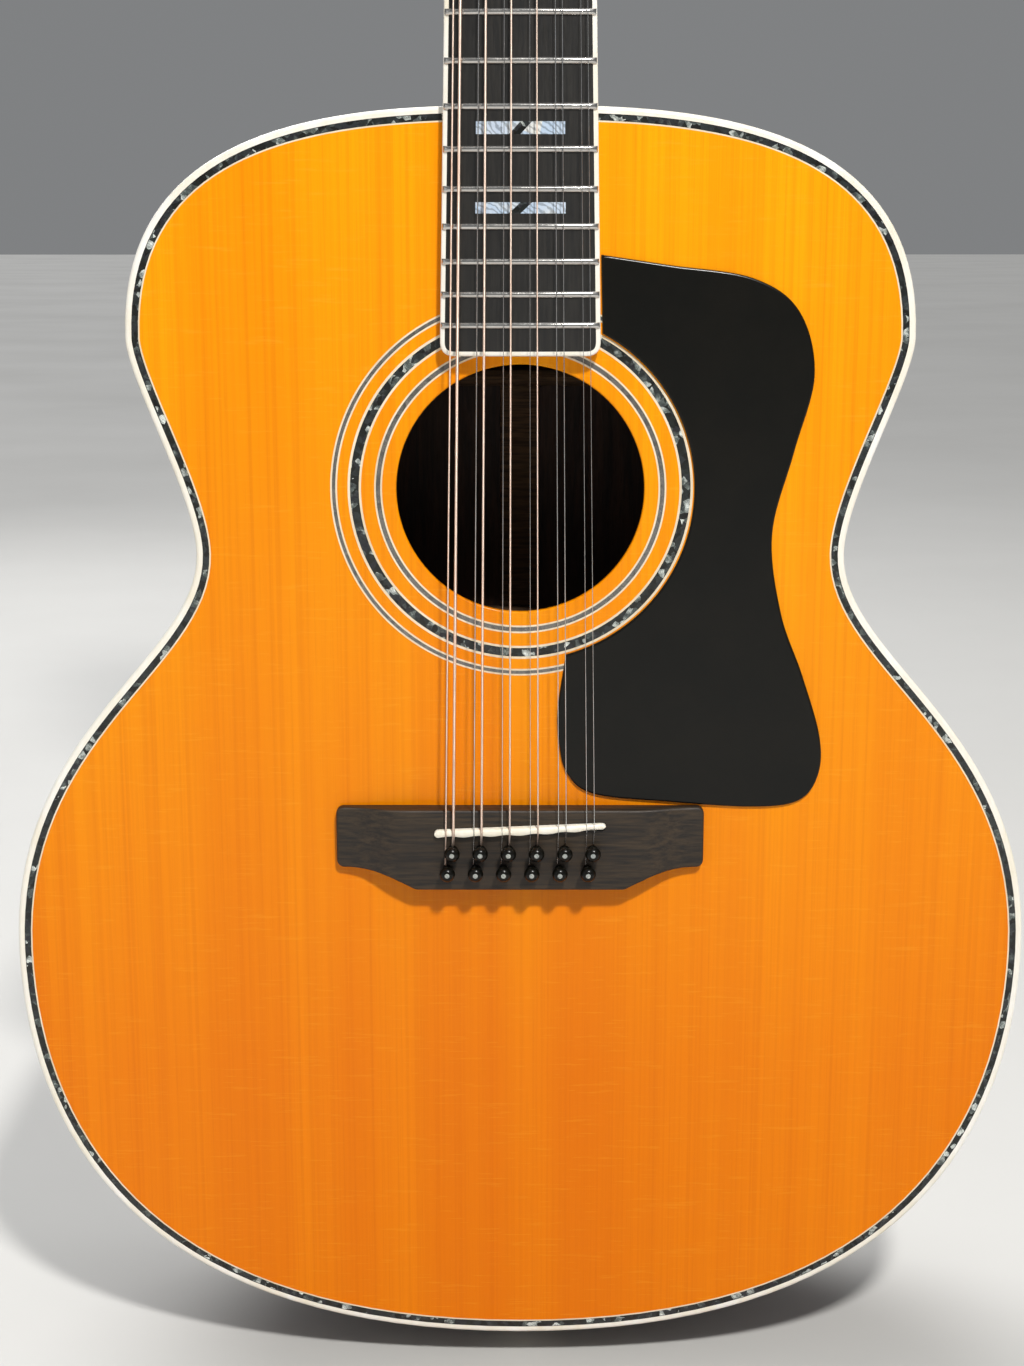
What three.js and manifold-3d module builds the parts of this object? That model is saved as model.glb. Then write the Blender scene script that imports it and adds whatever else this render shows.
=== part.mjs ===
// Twelve-string jumbo acoustic guitar, standing upright: +Z runs up the neck, the soundboard faces -Y
// and the bass side is -X. The origin is the middle of the end pin's flat face, the guitar's lowest
// point. Lengths are millimetres.
import * as THREE from "three";
import { mergeVertices } from "three/addons/utils/BufferGeometryUtils.js";
import Module from "manifold-3d";

const wasm = await Module();
wasm.setup();

// ---------- driving dimensions ----------
const GAP = 0.3; // clearance left at every glue line
const FAR = 90; // cutting bodies reach this far past the body's depth
const SCALE = 647.7; // nut to saddle
const END_PIN_REACH = 14; // end pin below the tail
const BODY_LENGTH = 531;
const TAIL_Z = END_PIN_REACH;
const TOP_Z = TAIL_Z + BODY_LENGTH;
const TAIL_DEPTH = 127; // body depth at the tail
const NECK_DEPTH = 105; // body depth at the neck
const FRONT_Y = -TAIL_DEPTH / 2; // outer face of the soundboard
const LOWER_BOUT = { half: 215.5, up: 180.5 };
const WAIST = { half: 133.6, up: 352.5 };
const UPPER_BOUT = { half: 159.6, up: 440.5 };
const TOP_THICK = 3.2;
const BACK_THICK = 3;
const RIM_THICK = 2.6;
const BINDING = { wide: 2.6, tall: 6 };

const BRIDGE_Z = TAIL_Z + 241.6; // scale end, under the saddle's crest
const NUT_Z = BRIDGE_Z + SCALE;
const HOLE = { up: 137.3, radius: 50.8 }; // soundhole centre above the scale end

const BOARD = { thick: 7.7, nutHalf: 23.4, endHalf: 32.3, endZ: BRIDGE_Z + 191.8, corner: 6 };
const BOARD_Y = FRONT_Y - GAP - BOARD.thick; // playing face of the fingerboard
const NUT = { thick: 5, rise: 1.6 };

const HEAD = { length: 214, thick: 14, veneer: 1.7, tilt: 14, neckHalf: 24, shoulder: 36, tipHalf: 41 };
const NECK_UP = 4; // where the headstock's sides start to flare
const SHOULDER_UP = 30; // where they become straight again
const CROWN = 12; // rise of its top edge
const COURSES = 6;
const COURSE_STEP = 11.8; // at the saddle
const COURSE_STEP_NUT = 7.9;
const PAIR_STEP = 3.2; // between the two strings of a course, at the saddle
const PAIR_STEP_NUT = 2.2;

const HEEL_CAP = { frontY: 38.7, backY: 41.2 };

const TUNERS = 6; // on each side
const TUNER_STEP = 27;
const FIRST_TUNER = 44;
const POST = { radius: 3, reach: 9.5, firstX: 24, spread: 0.55 };
const GEAR = { teeth: 14, module: 0.62, y: 4.2, wide: 2.6 };
const PITCH = Math.PI * GEAR.module; // the worm's lead, one start
const WORM = { pitchRadius: 2.1, length: 5.84 };
const WORM_OFFSET = (GEAR.teeth * GEAR.module) / 2 + WORM.pitchRadius;

// ---------- colours ----------
const finish = (color, roughness, metalness = 0) =>
  new THREE.MeshStandardMaterial({ color, roughness, metalness });
const AMBER_SPRUCE = finish(0xe8860a, 0.25);
const ROSEWOOD = finish(0x4a2618, 0.3);
const MAHOGANY = finish(0x6b3a1e, 0.35);
const EBONY = finish(0x241c17, 0.45);
const IVORY = finish(0xf3ede0, 0.4);
const BONE = finish(0xf5f0e2, 0.45);
const BARE_SPRUCE = finish(0xd9b98a, 0.8);
const MAPLE = finish(0xe0c49a, 0.7);
const BLACK_PLASTIC = finish(0x14150f, 0.2);
const GOLD = finish(0xd9a441, 0.25, 1);
const STEEL = finish(0xc8c8c8, 0.3, 1);
const BRONZE = finish(0xc99b6a, 0.35, 1);

// ---------- solids ----------
// A geometry's merged vertices as a manifold-3d solid.
function solid(geometry) {
  const bare = geometry.index ? geometry.toNonIndexed() : geometry.clone();
  bare.deleteAttribute("normal");
  bare.deleteAttribute("uv");
  const merged = mergeVertices(bare, 1e-4);
  return new wasm.Manifold(
    new wasm.Mesh({
      numProp: 3,
      vertProperties: merged.attributes.position.array,
      triVerts: new Uint32Array(merged.index.array),
    }),
  );
}

function geometryOf(made) {
  const mesh = made.getMesh();
  return new THREE.BufferGeometry()
    .setAttribute("position", new THREE.BufferAttribute(new Float32Array(mesh.vertProperties), 3))
    .setIndex(new THREE.BufferAttribute(new Uint32Array(mesh.triVerts), 1));
}

function join(first, ...rest) {
  return geometryOf(rest.reduce((sum, g) => sum.add(solid(g)), solid(first)));
}

function cut(first, ...tools) {
  return geometryOf(tools.reduce((left, g) => left.subtract(solid(g)), solid(first)));
}

const group = new THREE.Group();

function add(name, geometry, material, parent = group) {
  const mesh = new THREE.Mesh(geometry, material);
  mesh.name = name;
  parent.add(mesh);
  return mesh;
}

function box(x0, x1, y0, y1, z0, z1) {
  return new THREE.BoxGeometry(x1 - x0, y1 - y0, z1 - z0).translate(
    (x0 + x1) / 2,
    (y0 + y1) / 2,
    (z0 + z1) / 2,
  );
}

// A flat piece: an outline in X and Z, from its back face to its front face, each a function of z.
function slab(shape, frontY, backY, curveSegments = 12) {
  const front = typeof frontY === "function" ? frontY : () => frontY;
  const back = typeof backY === "function" ? backY : () => backY;
  const flat = new THREE.ExtrudeGeometry(shape, { depth: 1, bevelEnabled: false, curveSegments });
  const at = flat.attributes.position;
  for (let i = 0; i < at.count; i++) {
    const z = at.getY(i);
    const share = at.getZ(i);
    at.setXYZ(i, at.getX(i), back(z) + share * (front(z) - back(z)), z);
  }
  return flat;
}

// A closed skin through loops of equally many points; the end loops are convex.
function loft(loops) {
  const sides = loops[0].length;
  const points = loops.flat();
  const faces = [];
  for (let k = 0; k + 1 < loops.length; k++) {
    for (let i = 0; i < sides; i++) {
      const a = k * sides + i;
      const b = k * sides + ((i + 1) % sides);
      faces.push(a, b, b + sides, a, b + sides, a + sides);
    }
  }
  const last = (loops.length - 1) * sides;
  for (let i = 1; i + 1 < sides; i++) {
    faces.push(0, i + 1, i);
    faces.push(last, last + i, last + i + 1);
  }
  return new THREE.BufferGeometry()
    .setAttribute("position", new THREE.Float32BufferAttribute(points.flatMap((p) => [p.x, p.y, p.z]), 3))
    .setIndex(faces);
}

// ---------- body outline ----------
// Half the outline from the tail up to the neck: each bout and the waist is a point with an upright
// tangent, and below and above say how long its tangent's handles are.
const BOUTS = [
  { ...LOWER_BOUT, below: 95.7, above: 97.8 },
  { ...WAIST, below: 44.7, above: 24 },
  { ...UPPER_BOUT, below: 17, above: 90 },
];
const TAIL_HANDLE = 160;
const SHOULDER_HANDLE = 60;
const CURVE_STEPS = 8;

function halfOutline() {
  const curves = new THREE.CurvePath();
  let from = new THREE.Vector2(0, TAIL_Z);
  let leave = new THREE.Vector2(TAIL_HANDLE, TAIL_Z);
  for (const bout of BOUTS) {
    const z = TAIL_Z + bout.up;
    const to = new THREE.Vector2(bout.half, z);
    const arrive = new THREE.Vector2(bout.half, z - bout.below);
    curves.add(new THREE.CubicBezierCurve(from, leave, arrive, to));
    from = to;
    leave = new THREE.Vector2(bout.half, z + bout.above);
  }
  const neck = new THREE.Vector2(0, TOP_Z);
  curves.add(new THREE.CubicBezierCurve(from, leave, new THREE.Vector2(SHOULDER_HANDLE, TOP_Z), neck));
  return curves.curves.flatMap((curve, i) => curve.getPoints(CURVE_STEPS).slice(i ? 1 : 0));
}

const RIGHT_SIDE = halfOutline();
const OUTLINE = [
  ...RIGHT_SIDE,
  ...RIGHT_SIDE.slice(1, -1).reverse().map((p) => new THREE.Vector2(-p.x, p.y)),
];

// The outline moved inwards by a distance.
function inset(distance) {
  const count = OUTLINE.length;
  return OUTLINE.map((p, i) => {
    const before = OUTLINE[(i + count - 1) % count];
    const along = OUTLINE[(i + 1) % count].clone().sub(before).normalize();
    return new THREE.Vector2(p.x - along.y * distance, p.y + along.x * distance);
  });
}

function ring(outer, inner) {
  const shape = new THREE.Shape(inset(outer));
  shape.holes.push(new THREE.Path(inset(inner).reverse()));
  return shape;
}

// Outer face of the back: the body is shallower at the neck than at the tail.
const backY = (z) => FRONT_Y + TAIL_DEPTH - ((TAIL_DEPTH - NECK_DEPTH) * (z - TAIL_Z)) / BODY_LENGTH;
const frontInnerY = FRONT_Y + TOP_THICK; // inner face of the soundboard
const backInnerY = (z) => backY(z) - BACK_THICK;
const HOLE_Z = BRIDGE_Z + HOLE.up;
const BLOCK_GAP = BINDING.wide + GAP;

function soundboard() {
  const shape = new THREE.Shape(inset(BLOCK_GAP));
  const hole = new THREE.Path().absarc(0, HOLE_Z, HOLE.radius, 0, 2 * Math.PI, true);
  shape.holes.push(hole);
  return slab(shape, FRONT_Y, frontInnerY, 24);
}

const END_PIN = { shank: 4, headRadius: 7.5, bore: 4.5, length: 34 };
const endPinBore = () => {
  const along = new THREE.CylinderGeometry(END_PIN.bore, END_PIN.bore, 60, 12).rotateX(Math.PI / 2);
  return along.translate(0, 0, TAIL_Z);
};

// The neck's tenon goes through the sides into the neck block.
const TENON = { half: 10, frontY: -48, backY: 12, long: 22 };
const tenonHole = () =>
  box(
    -TENON.half - GAP, TENON.half + GAP, TENON.frontY - GAP, TENON.backY + GAP,
    TOP_Z - TENON.long - GAP, TOP_Z + 5,
  );

// The sides reach from one binding to the other, and the end pin goes through them.
function rim() {
  const front = FRONT_Y + BINDING.tall + GAP;
  const back = (z) => backY(z) - BINDING.tall - GAP;
  return cut(slab(ring(0, RIM_THICK), front, back), endPinBore(), tenonHole());
}

// Strips glued inside the rim that carry a plate's edge.
const LINING = { wide: 6, tall: 14 };
const LINING_OUT = RIM_THICK + GAP;
const LINING_IN = LINING_OUT + LINING.wide;
const NECK_BLOCK = { half: 38, reach: 46 };
const TAIL_BLOCK = { half: 42, reach: 20 };

function lining(frontY, backFn) {
  const strip = slab(ring(LINING_OUT, LINING_IN), frontY, backFn);
  const neckGap = box(-NECK_BLOCK.half - GAP, NECK_BLOCK.half + GAP, -FAR, FAR, TOP_Z - 20, TOP_Z + 5);
  return cut(strip, neckGap);
}

const topLiningBackY = frontInnerY + GAP + LINING.tall;
const backLiningFrontY = (z) => backInnerY(z) - GAP - LINING.tall;

// The neck block is glued straight to the rim, between the ends of the linings.
function neckBlock() {
  const core = slab(new THREE.Shape(inset(RIM_THICK + GAP)), frontInnerY + GAP, (z) => backInnerY(z) - GAP);
  const keep = box(-NECK_BLOCK.half, NECK_BLOCK.half, -FAR, FAR, TOP_Z - NECK_BLOCK.reach, TOP_Z + 5);
  return geometryOf(solid(core).intersect(solid(keep)).subtract(solid(tenonHole())));
}

// The tail block is notched over both linings, and bored for the end pin.
function tailBlock() {
  const notched = new THREE.Shape(inset(LINING_IN + GAP));
  const core = slab(notched, frontInnerY + GAP, (z) => backInnerY(z) - GAP);
  const middle = new THREE.Shape(inset(RIM_THICK + GAP));
  const tongue = slab(middle, topLiningBackY + GAP, (z) => backLiningFrontY(z) - GAP);
  const keep = box(-TAIL_BLOCK.half, TAIL_BLOCK.half, -FAR, FAR, TAIL_Z - 5, TAIL_Z + TAIL_BLOCK.reach);
  const whole = solid(core).add(solid(tongue)).intersect(solid(keep));
  return geometryOf(whole.subtract(solid(endPinBore())));
}

add("soundboard", soundboard(), AMBER_SPRUCE);
add("back_plate", slab(new THREE.Shape(inset(BLOCK_GAP)), backInnerY, backY), ROSEWOOD);
add("sides", rim(), ROSEWOOD);
add("top_binding", slab(ring(0, BINDING.wide), FRONT_Y, FRONT_Y + BINDING.tall), IVORY);
add("back_binding", slab(ring(0, BINDING.wide), (z) => backY(z) - BINDING.tall, backY), IVORY);
add("top_lining", lining(frontInnerY + GAP, () => topLiningBackY), BARE_SPRUCE);
add("back_lining", lining(backLiningFrontY, (z) => backInnerY(z) - GAP), BARE_SPRUCE);
add("neck_block", neckBlock(), MAHOGANY);
add("tail_block", tailBlock(), MAHOGANY);

// ---------- bracing ----------
const INNER_FACE = frontInnerY + GAP;
const DEG = Math.PI / 180;

// A straight brace on the soundboard's inner face, from one point to another, scooped at both ends.
function brace(from, to, tall, wide) {
  const run = to.clone().sub(from);
  const length = run.length();
  const scoop = 0.17 * length;
  const tip = 3;
  const side = new THREE.Shape();
  side.moveTo(0, 0);
  side.lineTo(length, 0);
  side.lineTo(length, tip);
  side.lineTo(length - scoop, tall);
  side.lineTo(scoop, tall);
  side.lineTo(0, tip);
  const bar = new THREE.ExtrudeGeometry(side, { depth: wide, bevelEnabled: false });
  bar.translate(0, 0, -wide / 2);
  bar.rotateY(-run.angle());
  return bar.translate(from.x, INNER_FACE, from.y);
}

// The X straddles the soundhole; heights are above the scale end.
const X_BRACE = { cross: 60, halfAngle: 48 * DEG, up: 165, down: 255, tall: 15, wide: 8 };
const TONE_BAR = { slope: 35 * DEG, long: [217, 178], fromCross: [157, 222], tall: 9, wide: 7 };

// A point on one of the X's legs; positive distances run up towards the neck.
function onLeg(side, distance) {
  return new THREE.Vector2(
    side * distance * Math.sin(X_BRACE.halfAngle),
    BRIDGE_Z + X_BRACE.cross + distance * Math.cos(X_BRACE.halfAngle),
  );
}

function bracing() {
  const legs = [1, -1].map((side) =>
    brace(onLeg(side, -X_BRACE.down), onLeg(side, X_BRACE.up), X_BRACE.tall, X_BRACE.wide),
  );
  const toneBars = TONE_BAR.long.map((long, i) => {
    const start = onLeg(-1, -TONE_BAR.fromCross[i]);
    const run = new THREE.Vector2(-Math.cos(TONE_BAR.slope), -Math.sin(TONE_BAR.slope));
    const end = start.clone().addScaledVector(run, long);
    return brace(start, end, TONE_BAR.tall, TONE_BAR.wide);
  });
  return join(...legs, ...toneBars);
}

// A flat plate under the bridge, between the X's legs.
const BRIDGE_PLATE = { topHalf: 62, footHalf: 92, topBelow: 4, footBelow: 40, thick: 2.6 };

function bridgePlate() {
  const { topHalf, footHalf, thick } = BRIDGE_PLATE;
  const top = BRIDGE_Z - BRIDGE_PLATE.topBelow;
  const foot = BRIDGE_Z - BRIDGE_PLATE.footBelow;
  const shape = new THREE.Shape();
  shape.moveTo(-topHalf, top);
  shape.lineTo(topHalf, top);
  shape.lineTo(footHalf, foot);
  shape.lineTo(-footHalf, foot);
  return slab(shape, INNER_FACE, INNER_FACE + thick);
}

add("top_bracing", bracing(), BARE_SPRUCE);
add("bridge_plate", bridgePlate(), MAPLE);

// ---------- bridge and saddle ----------
const BRIDGE = { half: 77.6, above: 3.5, wingBelow: 22.8, bellyBelow: 31.4, bellyHalf: 44, corner: 3 };
const BELLY_HANDLES = { wing: 60, belly: 54, bellyUp: 5.2 }; // of the curve from a wing to the belly
const BRIDGE_TALL = { middle: 9, wing: 4 };
const BRIDGE_BACK_Y = FRONT_Y - GAP;
const SADDLE = { half: 36, bassZ: -6.4, trebleZ: -3.4, thick: 3.3, crest: 12.4, sunk: 5.5 };
const CAMBER_RADIUS = 406; // fingerboard, nut and saddle are crowned alike
const camber = (x) => CAMBER_RADIUS - Math.sqrt(CAMBER_RADIUS ** 2 - x ** 2);

function bridgeOutline() {
  const { half, bellyHalf, corner } = BRIDGE;
  const { wing, belly, bellyUp } = BELLY_HANDLES;
  const high = BRIDGE_Z + BRIDGE.above;
  const wingZ = BRIDGE_Z - BRIDGE.wingBelow;
  const bellyZ = BRIDGE_Z - BRIDGE.bellyBelow;
  const shape = new THREE.Shape();
  shape.moveTo(half, high - corner);
  shape.quadraticCurveTo(half, high, half - corner, high);
  shape.lineTo(corner - half, high);
  shape.quadraticCurveTo(-half, high, -half, high - corner);
  shape.lineTo(-half, wingZ + corner);
  shape.quadraticCurveTo(-half, wingZ, corner - half, wingZ);
  shape.bezierCurveTo(-wing, wingZ, -belly, bellyZ + bellyUp, -bellyHalf, bellyZ);
  shape.lineTo(bellyHalf, bellyZ);
  shape.bezierCurveTo(belly, bellyZ + bellyUp, wing, wingZ, half - corner, wingZ);
  shape.quadraticCurveTo(half, wingZ, half, wingZ + corner);
  return shape;
}

// The bridge seen from its end: full height in the middle, scooped down to thin wings.
function bridgeProfile() {
  const { half } = BRIDGE;
  const { middle: tall, wing: wingTall } = BRIDGE_TALL;
  const y = (height) => BRIDGE_BACK_Y - height;
  const shape = new THREE.Shape();
  shape.moveTo(-half - 1, y(0));
  shape.lineTo(half + 1, y(0));
  shape.lineTo(half + 1, y(wingTall));
  shape.bezierCurveTo(62, y(wingTall), 60, y(tall), 48, y(tall));
  shape.lineTo(-48, y(tall));
  shape.bezierCurveTo(-60, y(tall), -62, y(wingTall), -half - 1, y(wingTall));
  const long = new THREE.ExtrudeGeometry(shape, { depth: 50, bevelEnabled: false, curveSegments: 5 });
  return long.translate(0, 0, BRIDGE_Z - 43);
}

// The saddle's outline seen from the front, slanted for the strings' compensation.
function saddleOutline(extra) {
  const across = new THREE.Vector2(2 * SADDLE.half, SADDLE.trebleZ - SADDLE.bassZ);
  const turn = across.angle();
  const round = SADDLE.thick / 2 + extra;
  const end = SADDLE.half - SADDLE.thick / 2;
  const lean = Math.tan(turn) * end;
  const shape = new THREE.Shape();
  shape.absarc(end, saddleMiddleZ + lean, round, turn - Math.PI / 2, turn + Math.PI / 2, false);
  shape.absarc(-end, saddleMiddleZ - lean, round, turn + Math.PI / 2, turn + (3 * Math.PI) / 2, false);
  return shape;
}

const saddleMiddleZ = BRIDGE_Z + (SADDLE.bassZ + SADDLE.trebleZ) / 2;
const saddleZ = (x) => saddleMiddleZ + (x * (SADDLE.trebleZ - SADDLE.bassZ)) / (2 * SADDLE.half);
const bridgeTopY = BRIDGE_BACK_Y - BRIDGE_TALL.middle;
const saddleFootY = bridgeTopY + SADDLE.sunk;

// Everything behind a crowned face that runs along Z, the crown's middle being at y.
function crowned(y, backFace, half, z0, z1) {
  const shape = new THREE.Shape();
  shape.moveTo(-half, backFace);
  shape.lineTo(half, backFace);
  for (let k = 4; k >= -4; k--) {
    shape.lineTo((half * k) / 4, y + camber((half * k) / 4));
  }
  return new THREE.ExtrudeGeometry(shape, { depth: z1 - z0, bevelEnabled: false }).translate(0, 0, z0);
}

// Two rows of pins, a lower one for each course's left string and an upper one for its right string.
// A string leaves its pin a little to one side of the pin's middle.
const PIN_ROWS = [
  { x: -1, up: -22.6, leave: -0.9 },
  { x: 1, up: -13.9, leave: 0.3 },
];
const PIN_SINK = 1; // the pins are joined to the bridge below its face
const PIN_PROFILE = [
  [0, -PIN_SINK], [2.1, -PIN_SINK], [2.1, 2.6], [3.3, 3.4], [3.3, 6.2], [1.9, 8], [0, 8],
];
const courseX = (course) => (course - (COURSES - 1) / 2) * COURSE_STEP;

function bridgePins() {
  const profile = PIN_PROFILE.map(([radius, height]) => new THREE.Vector2(radius, height));
  return Array.from({ length: COURSES }, (_, course) =>
    PIN_ROWS.map(({ x, up }) => {
      const pin = new THREE.LatheGeometry(profile, 10).rotateX(Math.PI);
      return pin.translate(courseX(course) + x, bridgeTopY, BRIDGE_Z + up);
    }),
  ).flat();
}

function bridge() {
  const blank = slab(bridgeOutline(), BRIDGE_BACK_Y - 20, BRIDGE_BACK_Y, 5);
  const whole = solid(blank).intersect(solid(bridgeProfile()));
  const slot = slab(saddleOutline(GAP), BRIDGE_BACK_Y - 20, saddleFootY + GAP, 4);
  return geometryOf(bridgePins().reduce((sum, pin) => sum.add(solid(pin)), whole.subtract(solid(slot))));
}

function saddle() {
  const blank = solid(slab(saddleOutline(0), bridgeTopY - 10, saddleFootY, 4));
  const crestY = FRONT_Y - SADDLE.crest;
  const crown = crowned(crestY, saddleFootY + 5, SADDLE.half + 2, BRIDGE_Z - 12, BRIDGE_Z + 6);
  return geometryOf(blank.intersect(solid(crown)));
}

add("bridge", bridge(), EBONY);
add("saddle", saddle(), BONE);

// ---------- fingerboard, nut and pickguard ----------
const BOARD_RUN = NUT_Z - BOARD.endZ;
const boardHalf = (z) => BOARD.nutHalf + ((BOARD.endHalf - BOARD.nutHalf) * (NUT_Z - z)) / BOARD_RUN;

function fingerboard() {
  const { nutHalf, endHalf, endZ, corner } = BOARD;
  const sideZ = endZ + corner;
  const top = NUT_Z - GAP;
  const shape = new THREE.Shape();
  shape.moveTo(-nutHalf, top);
  shape.lineTo(-boardHalf(sideZ), sideZ);
  shape.quadraticCurveTo(-endHalf, endZ, corner - endHalf, endZ);
  shape.lineTo(endHalf - corner, endZ);
  shape.quadraticCurveTo(endHalf, endZ, boardHalf(sideZ), sideZ);
  shape.lineTo(nutHalf, top);
  const blank = slab(shape, BOARD_Y - 5, FRONT_Y - GAP, 4);
  const crown = crowned(BOARD_Y, FRONT_Y + 5, endHalf + 2, endZ - 5, NUT_Z + 5);
  return geometryOf(solid(blank).intersect(solid(crown)));
}

function nut() {
  const half = BOARD.nutHalf;
  const blank = box(-half, half, BOARD_Y - 5, FRONT_Y - GAP, NUT_Z, NUT_Z + NUT.thick - GAP);
  const crown = crowned(BOARD_Y - NUT.rise, FRONT_Y + 5, BOARD.nutHalf + 2, NUT_Z - 5, NUT_Z + 10);
  return geometryOf(solid(blank).intersect(solid(crown)));
}

// The pickguard fills the corner between the fingerboard, the rosette and the bridge.
const PICKGUARD = { thick: 1.2, arc: 71.3, top: 231.6 };
const PICKGUARD_EDGE = [
  [60, 227.5], [93, 222.5], [112, 209.5], [119, 184], [111.5, 152.5],
  [103.5, 119], [108, 86], [117.5, 60], [125.5, 34],
];
const PICKGUARD_FOOT = [
  [125.5, 17], [117.5, 5.8], [98, 3], [62, 5.2], [31, 8.6], [19.5, 18], [16, 34], [16, 48],
];

function pickguardOutline() {
  const at = ([x, up]) => new THREE.Vector2(x, BRIDGE_Z + up);
  const besideBoard = (up) => boardHalf(BRIDGE_Z + up) + 0.8;
  const arcEnd = 62.3 * DEG;
  const arcStart = -74.5 * DEG;
  const shape = new THREE.Shape();
  shape.moveTo(besideBoard(PICKGUARD.top), BRIDGE_Z + PICKGUARD.top);
  shape.splineThru(PICKGUARD_EDGE.map(at));
  shape.splineThru(PICKGUARD_FOOT.map(at));
  shape.absarc(0, HOLE_Z, PICKGUARD.arc, arcStart, arcEnd, false);
  return shape;
}

add("fingerboard", fingerboard(), EBONY);
add("nut", nut(), BONE);
const pickguard = slab(pickguardOutline(), FRONT_Y - GAP - PICKGUARD.thick, FRONT_Y - GAP, 3);
add("pickguard", pickguard, BLACK_PLASTIC);

// ---------- neck ----------
const NECK_FOOT_Z = TOP_Z + GAP;
const SHAFT = { nutDepth: 14.5, footDepth: 18, sides: 12, stations: 4 };
const HEEL_LOOPS = [
  { y: -57, half: 26, reach: 84 },
  { y: -48, half: 25, reach: 56 },
  { y: -38, half: 22.5, reach: 40 },
  { y: -22, half: 20, reach: 29 },
  { y: 0, half: 17.5, reach: 23 },
  { y: 38.4, half: 15.5, reach: 18 },
];

// One loop of the shaft: flat in front, round behind.
function shaftLoop(z) {
  const half = boardHalf(z);
  const share = (NUT_Z - z) / (NUT_Z - TOP_Z);
  const depth = SHAFT.nutDepth + (SHAFT.footDepth - SHAFT.nutDepth) * share;
  return Array.from({ length: SHAFT.sides + 1 }, (_, i) => {
    const turn = (Math.PI * i) / SHAFT.sides;
    return new THREE.Vector3(half * Math.cos(turn), FRONT_Y + depth * Math.sin(turn) ** 0.75, z);
  });
}

function shaft() {
  const top = NUT_Z + NUT.thick;
  const loops = Array.from({ length: SHAFT.stations + 1 }, (_, k) =>
    shaftLoop(NECK_FOOT_Z + ((top - NECK_FOOT_Z) * k) / SHAFT.stations),
  );
  return loft(loops);
}

function heel() {
  const steps = 10;
  const loops = HEEL_LOOPS.map(({ y, half, reach }) =>
    Array.from({ length: steps + 1 }, (_, i) => {
      const turn = Math.PI * (1 - i / steps);
      return new THREE.Vector3(half * Math.cos(turn), y, NECK_FOOT_Z + reach * Math.sin(turn));
    }),
  );
  return loft(loops);
}

function heelCap() {
  const { half, reach } = HEEL_LOOPS.at(-1);
  const shape = new THREE.Shape();
  shape.absellipse(0, NECK_FOOT_Z, half, reach, 0, Math.PI, false, 0);
  return slab(shape, HEEL_CAP.frontY, HEEL_CAP.backY, 8);
}

// ---------- headstock ----------
// The headstock's own frame: its front face is y = 0, z runs up it from the nut, and y runs back.
const head = new THREE.Group();
head.position.set(0, FRONT_Y, NUT_Z + NUT.thick);
head.rotation.x = -HEAD.tilt * DEG;
head.updateMatrix();
group.add(head);
const VENEER_Y = -GAP - HEAD.veneer; // the veneer's front face
const FLARE = { neck: 16, shoulder: 12 }; // heights of the handles of the sides' flare
const UNDER_NUT = 8; // the headstock's blank reaches this far down into the shaft

function headOutline(from) {
  const { length, neckHalf, shoulder, tipHalf } = HEAD;
  const crown = length - CROWN;
  const shape = new THREE.Shape();
  shape.moveTo(neckHalf, from);
  shape.lineTo(neckHalf, NECK_UP);
  shape.bezierCurveTo(neckHalf, FLARE.neck, shoulder, FLARE.shoulder, shoulder, SHOULDER_UP);
  shape.lineTo(tipHalf, crown);
  shape.quadraticCurveTo(tipHalf / 2, length, 0, length);
  shape.quadraticCurveTo(-tipHalf / 2, length, -tipHalf, crown);
  shape.lineTo(-shoulder, SHOULDER_UP);
  shape.bezierCurveTo(-shoulder, FLARE.shoulder, -neckHalf, FLARE.neck, -neckHalf, NECK_UP);
  shape.lineTo(-neckHalf, from);
  return shape;
}

const postX = (i) => POST.firstX + POST.spread * i;
const postZ = (i) => FIRST_TUNER + TUNER_STEP * i;
const SIDES = [
  { name: "bass", side: -1 },
  { name: "treble", side: 1 },
];
const places = SIDES.flatMap(({ name, side }) =>
  Array.from({ length: TUNERS }, (_, i) => ({ name, side, i, x: side * postX(i), z: postZ(i) })),
);

// Holes for the twelve posts, along y in the headstock's frame.
function postHoles() {
  const radius = POST.radius + 0.7;
  return places.map(({ x, z }) => new THREE.CylinderGeometry(radius, radius, 60, 8).translate(x, 0, z));
}

// The channel for the truss rod runs up the neck under the fingerboard and out below the veneer.
const CHANNEL = { half: 3, deep: 9.6, out: 30 };
const channel = () => {
  const top = NUT_Z + NUT.thick + CHANNEL.out;
  return box(-CHANNEL.half, CHANNEL.half, FRONT_Y - 1, FRONT_Y + CHANNEL.deep, TOP_Z - 5, top);
};

function neck() {
  const blank = slab(headOutline(-UNDER_NUT), 0, HEAD.thick, 6).applyMatrix4(head.matrix);
  const overNut = box(-FAR, FAR, FRONT_Y - FAR, FRONT_Y, NUT_Z - 20, NUT_Z + NUT.thick);
  const holes = postHoles().map((hole) => hole.applyMatrix4(head.matrix));
  const tenon = box(
    -TENON.half, TENON.half, TENON.frontY, TENON.backY, TOP_Z - TENON.long, NECK_FOOT_Z + 2,
  );
  const body = join(shaft(), heel(), tenon, cut(blank, overNut));
  return cut(body, channel(), ...holes);
}

const ROD_WINDOW = { up: 17, half: 6, halfTall: 13 }; // the opening over the truss rod's nut

function veneer() {
  const { up, half, halfTall } = ROD_WINDOW;
  const window = new THREE.Shape();
  window.absellipse(0, up, half, halfTall, 0, 2 * Math.PI, false, 0);
  const blank = slab(headOutline(GAP + 0.1), VENEER_Y, -GAP, 6);
  return cut(blank, slab(window, -10, 10, 4), ...postHoles());
}

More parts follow.
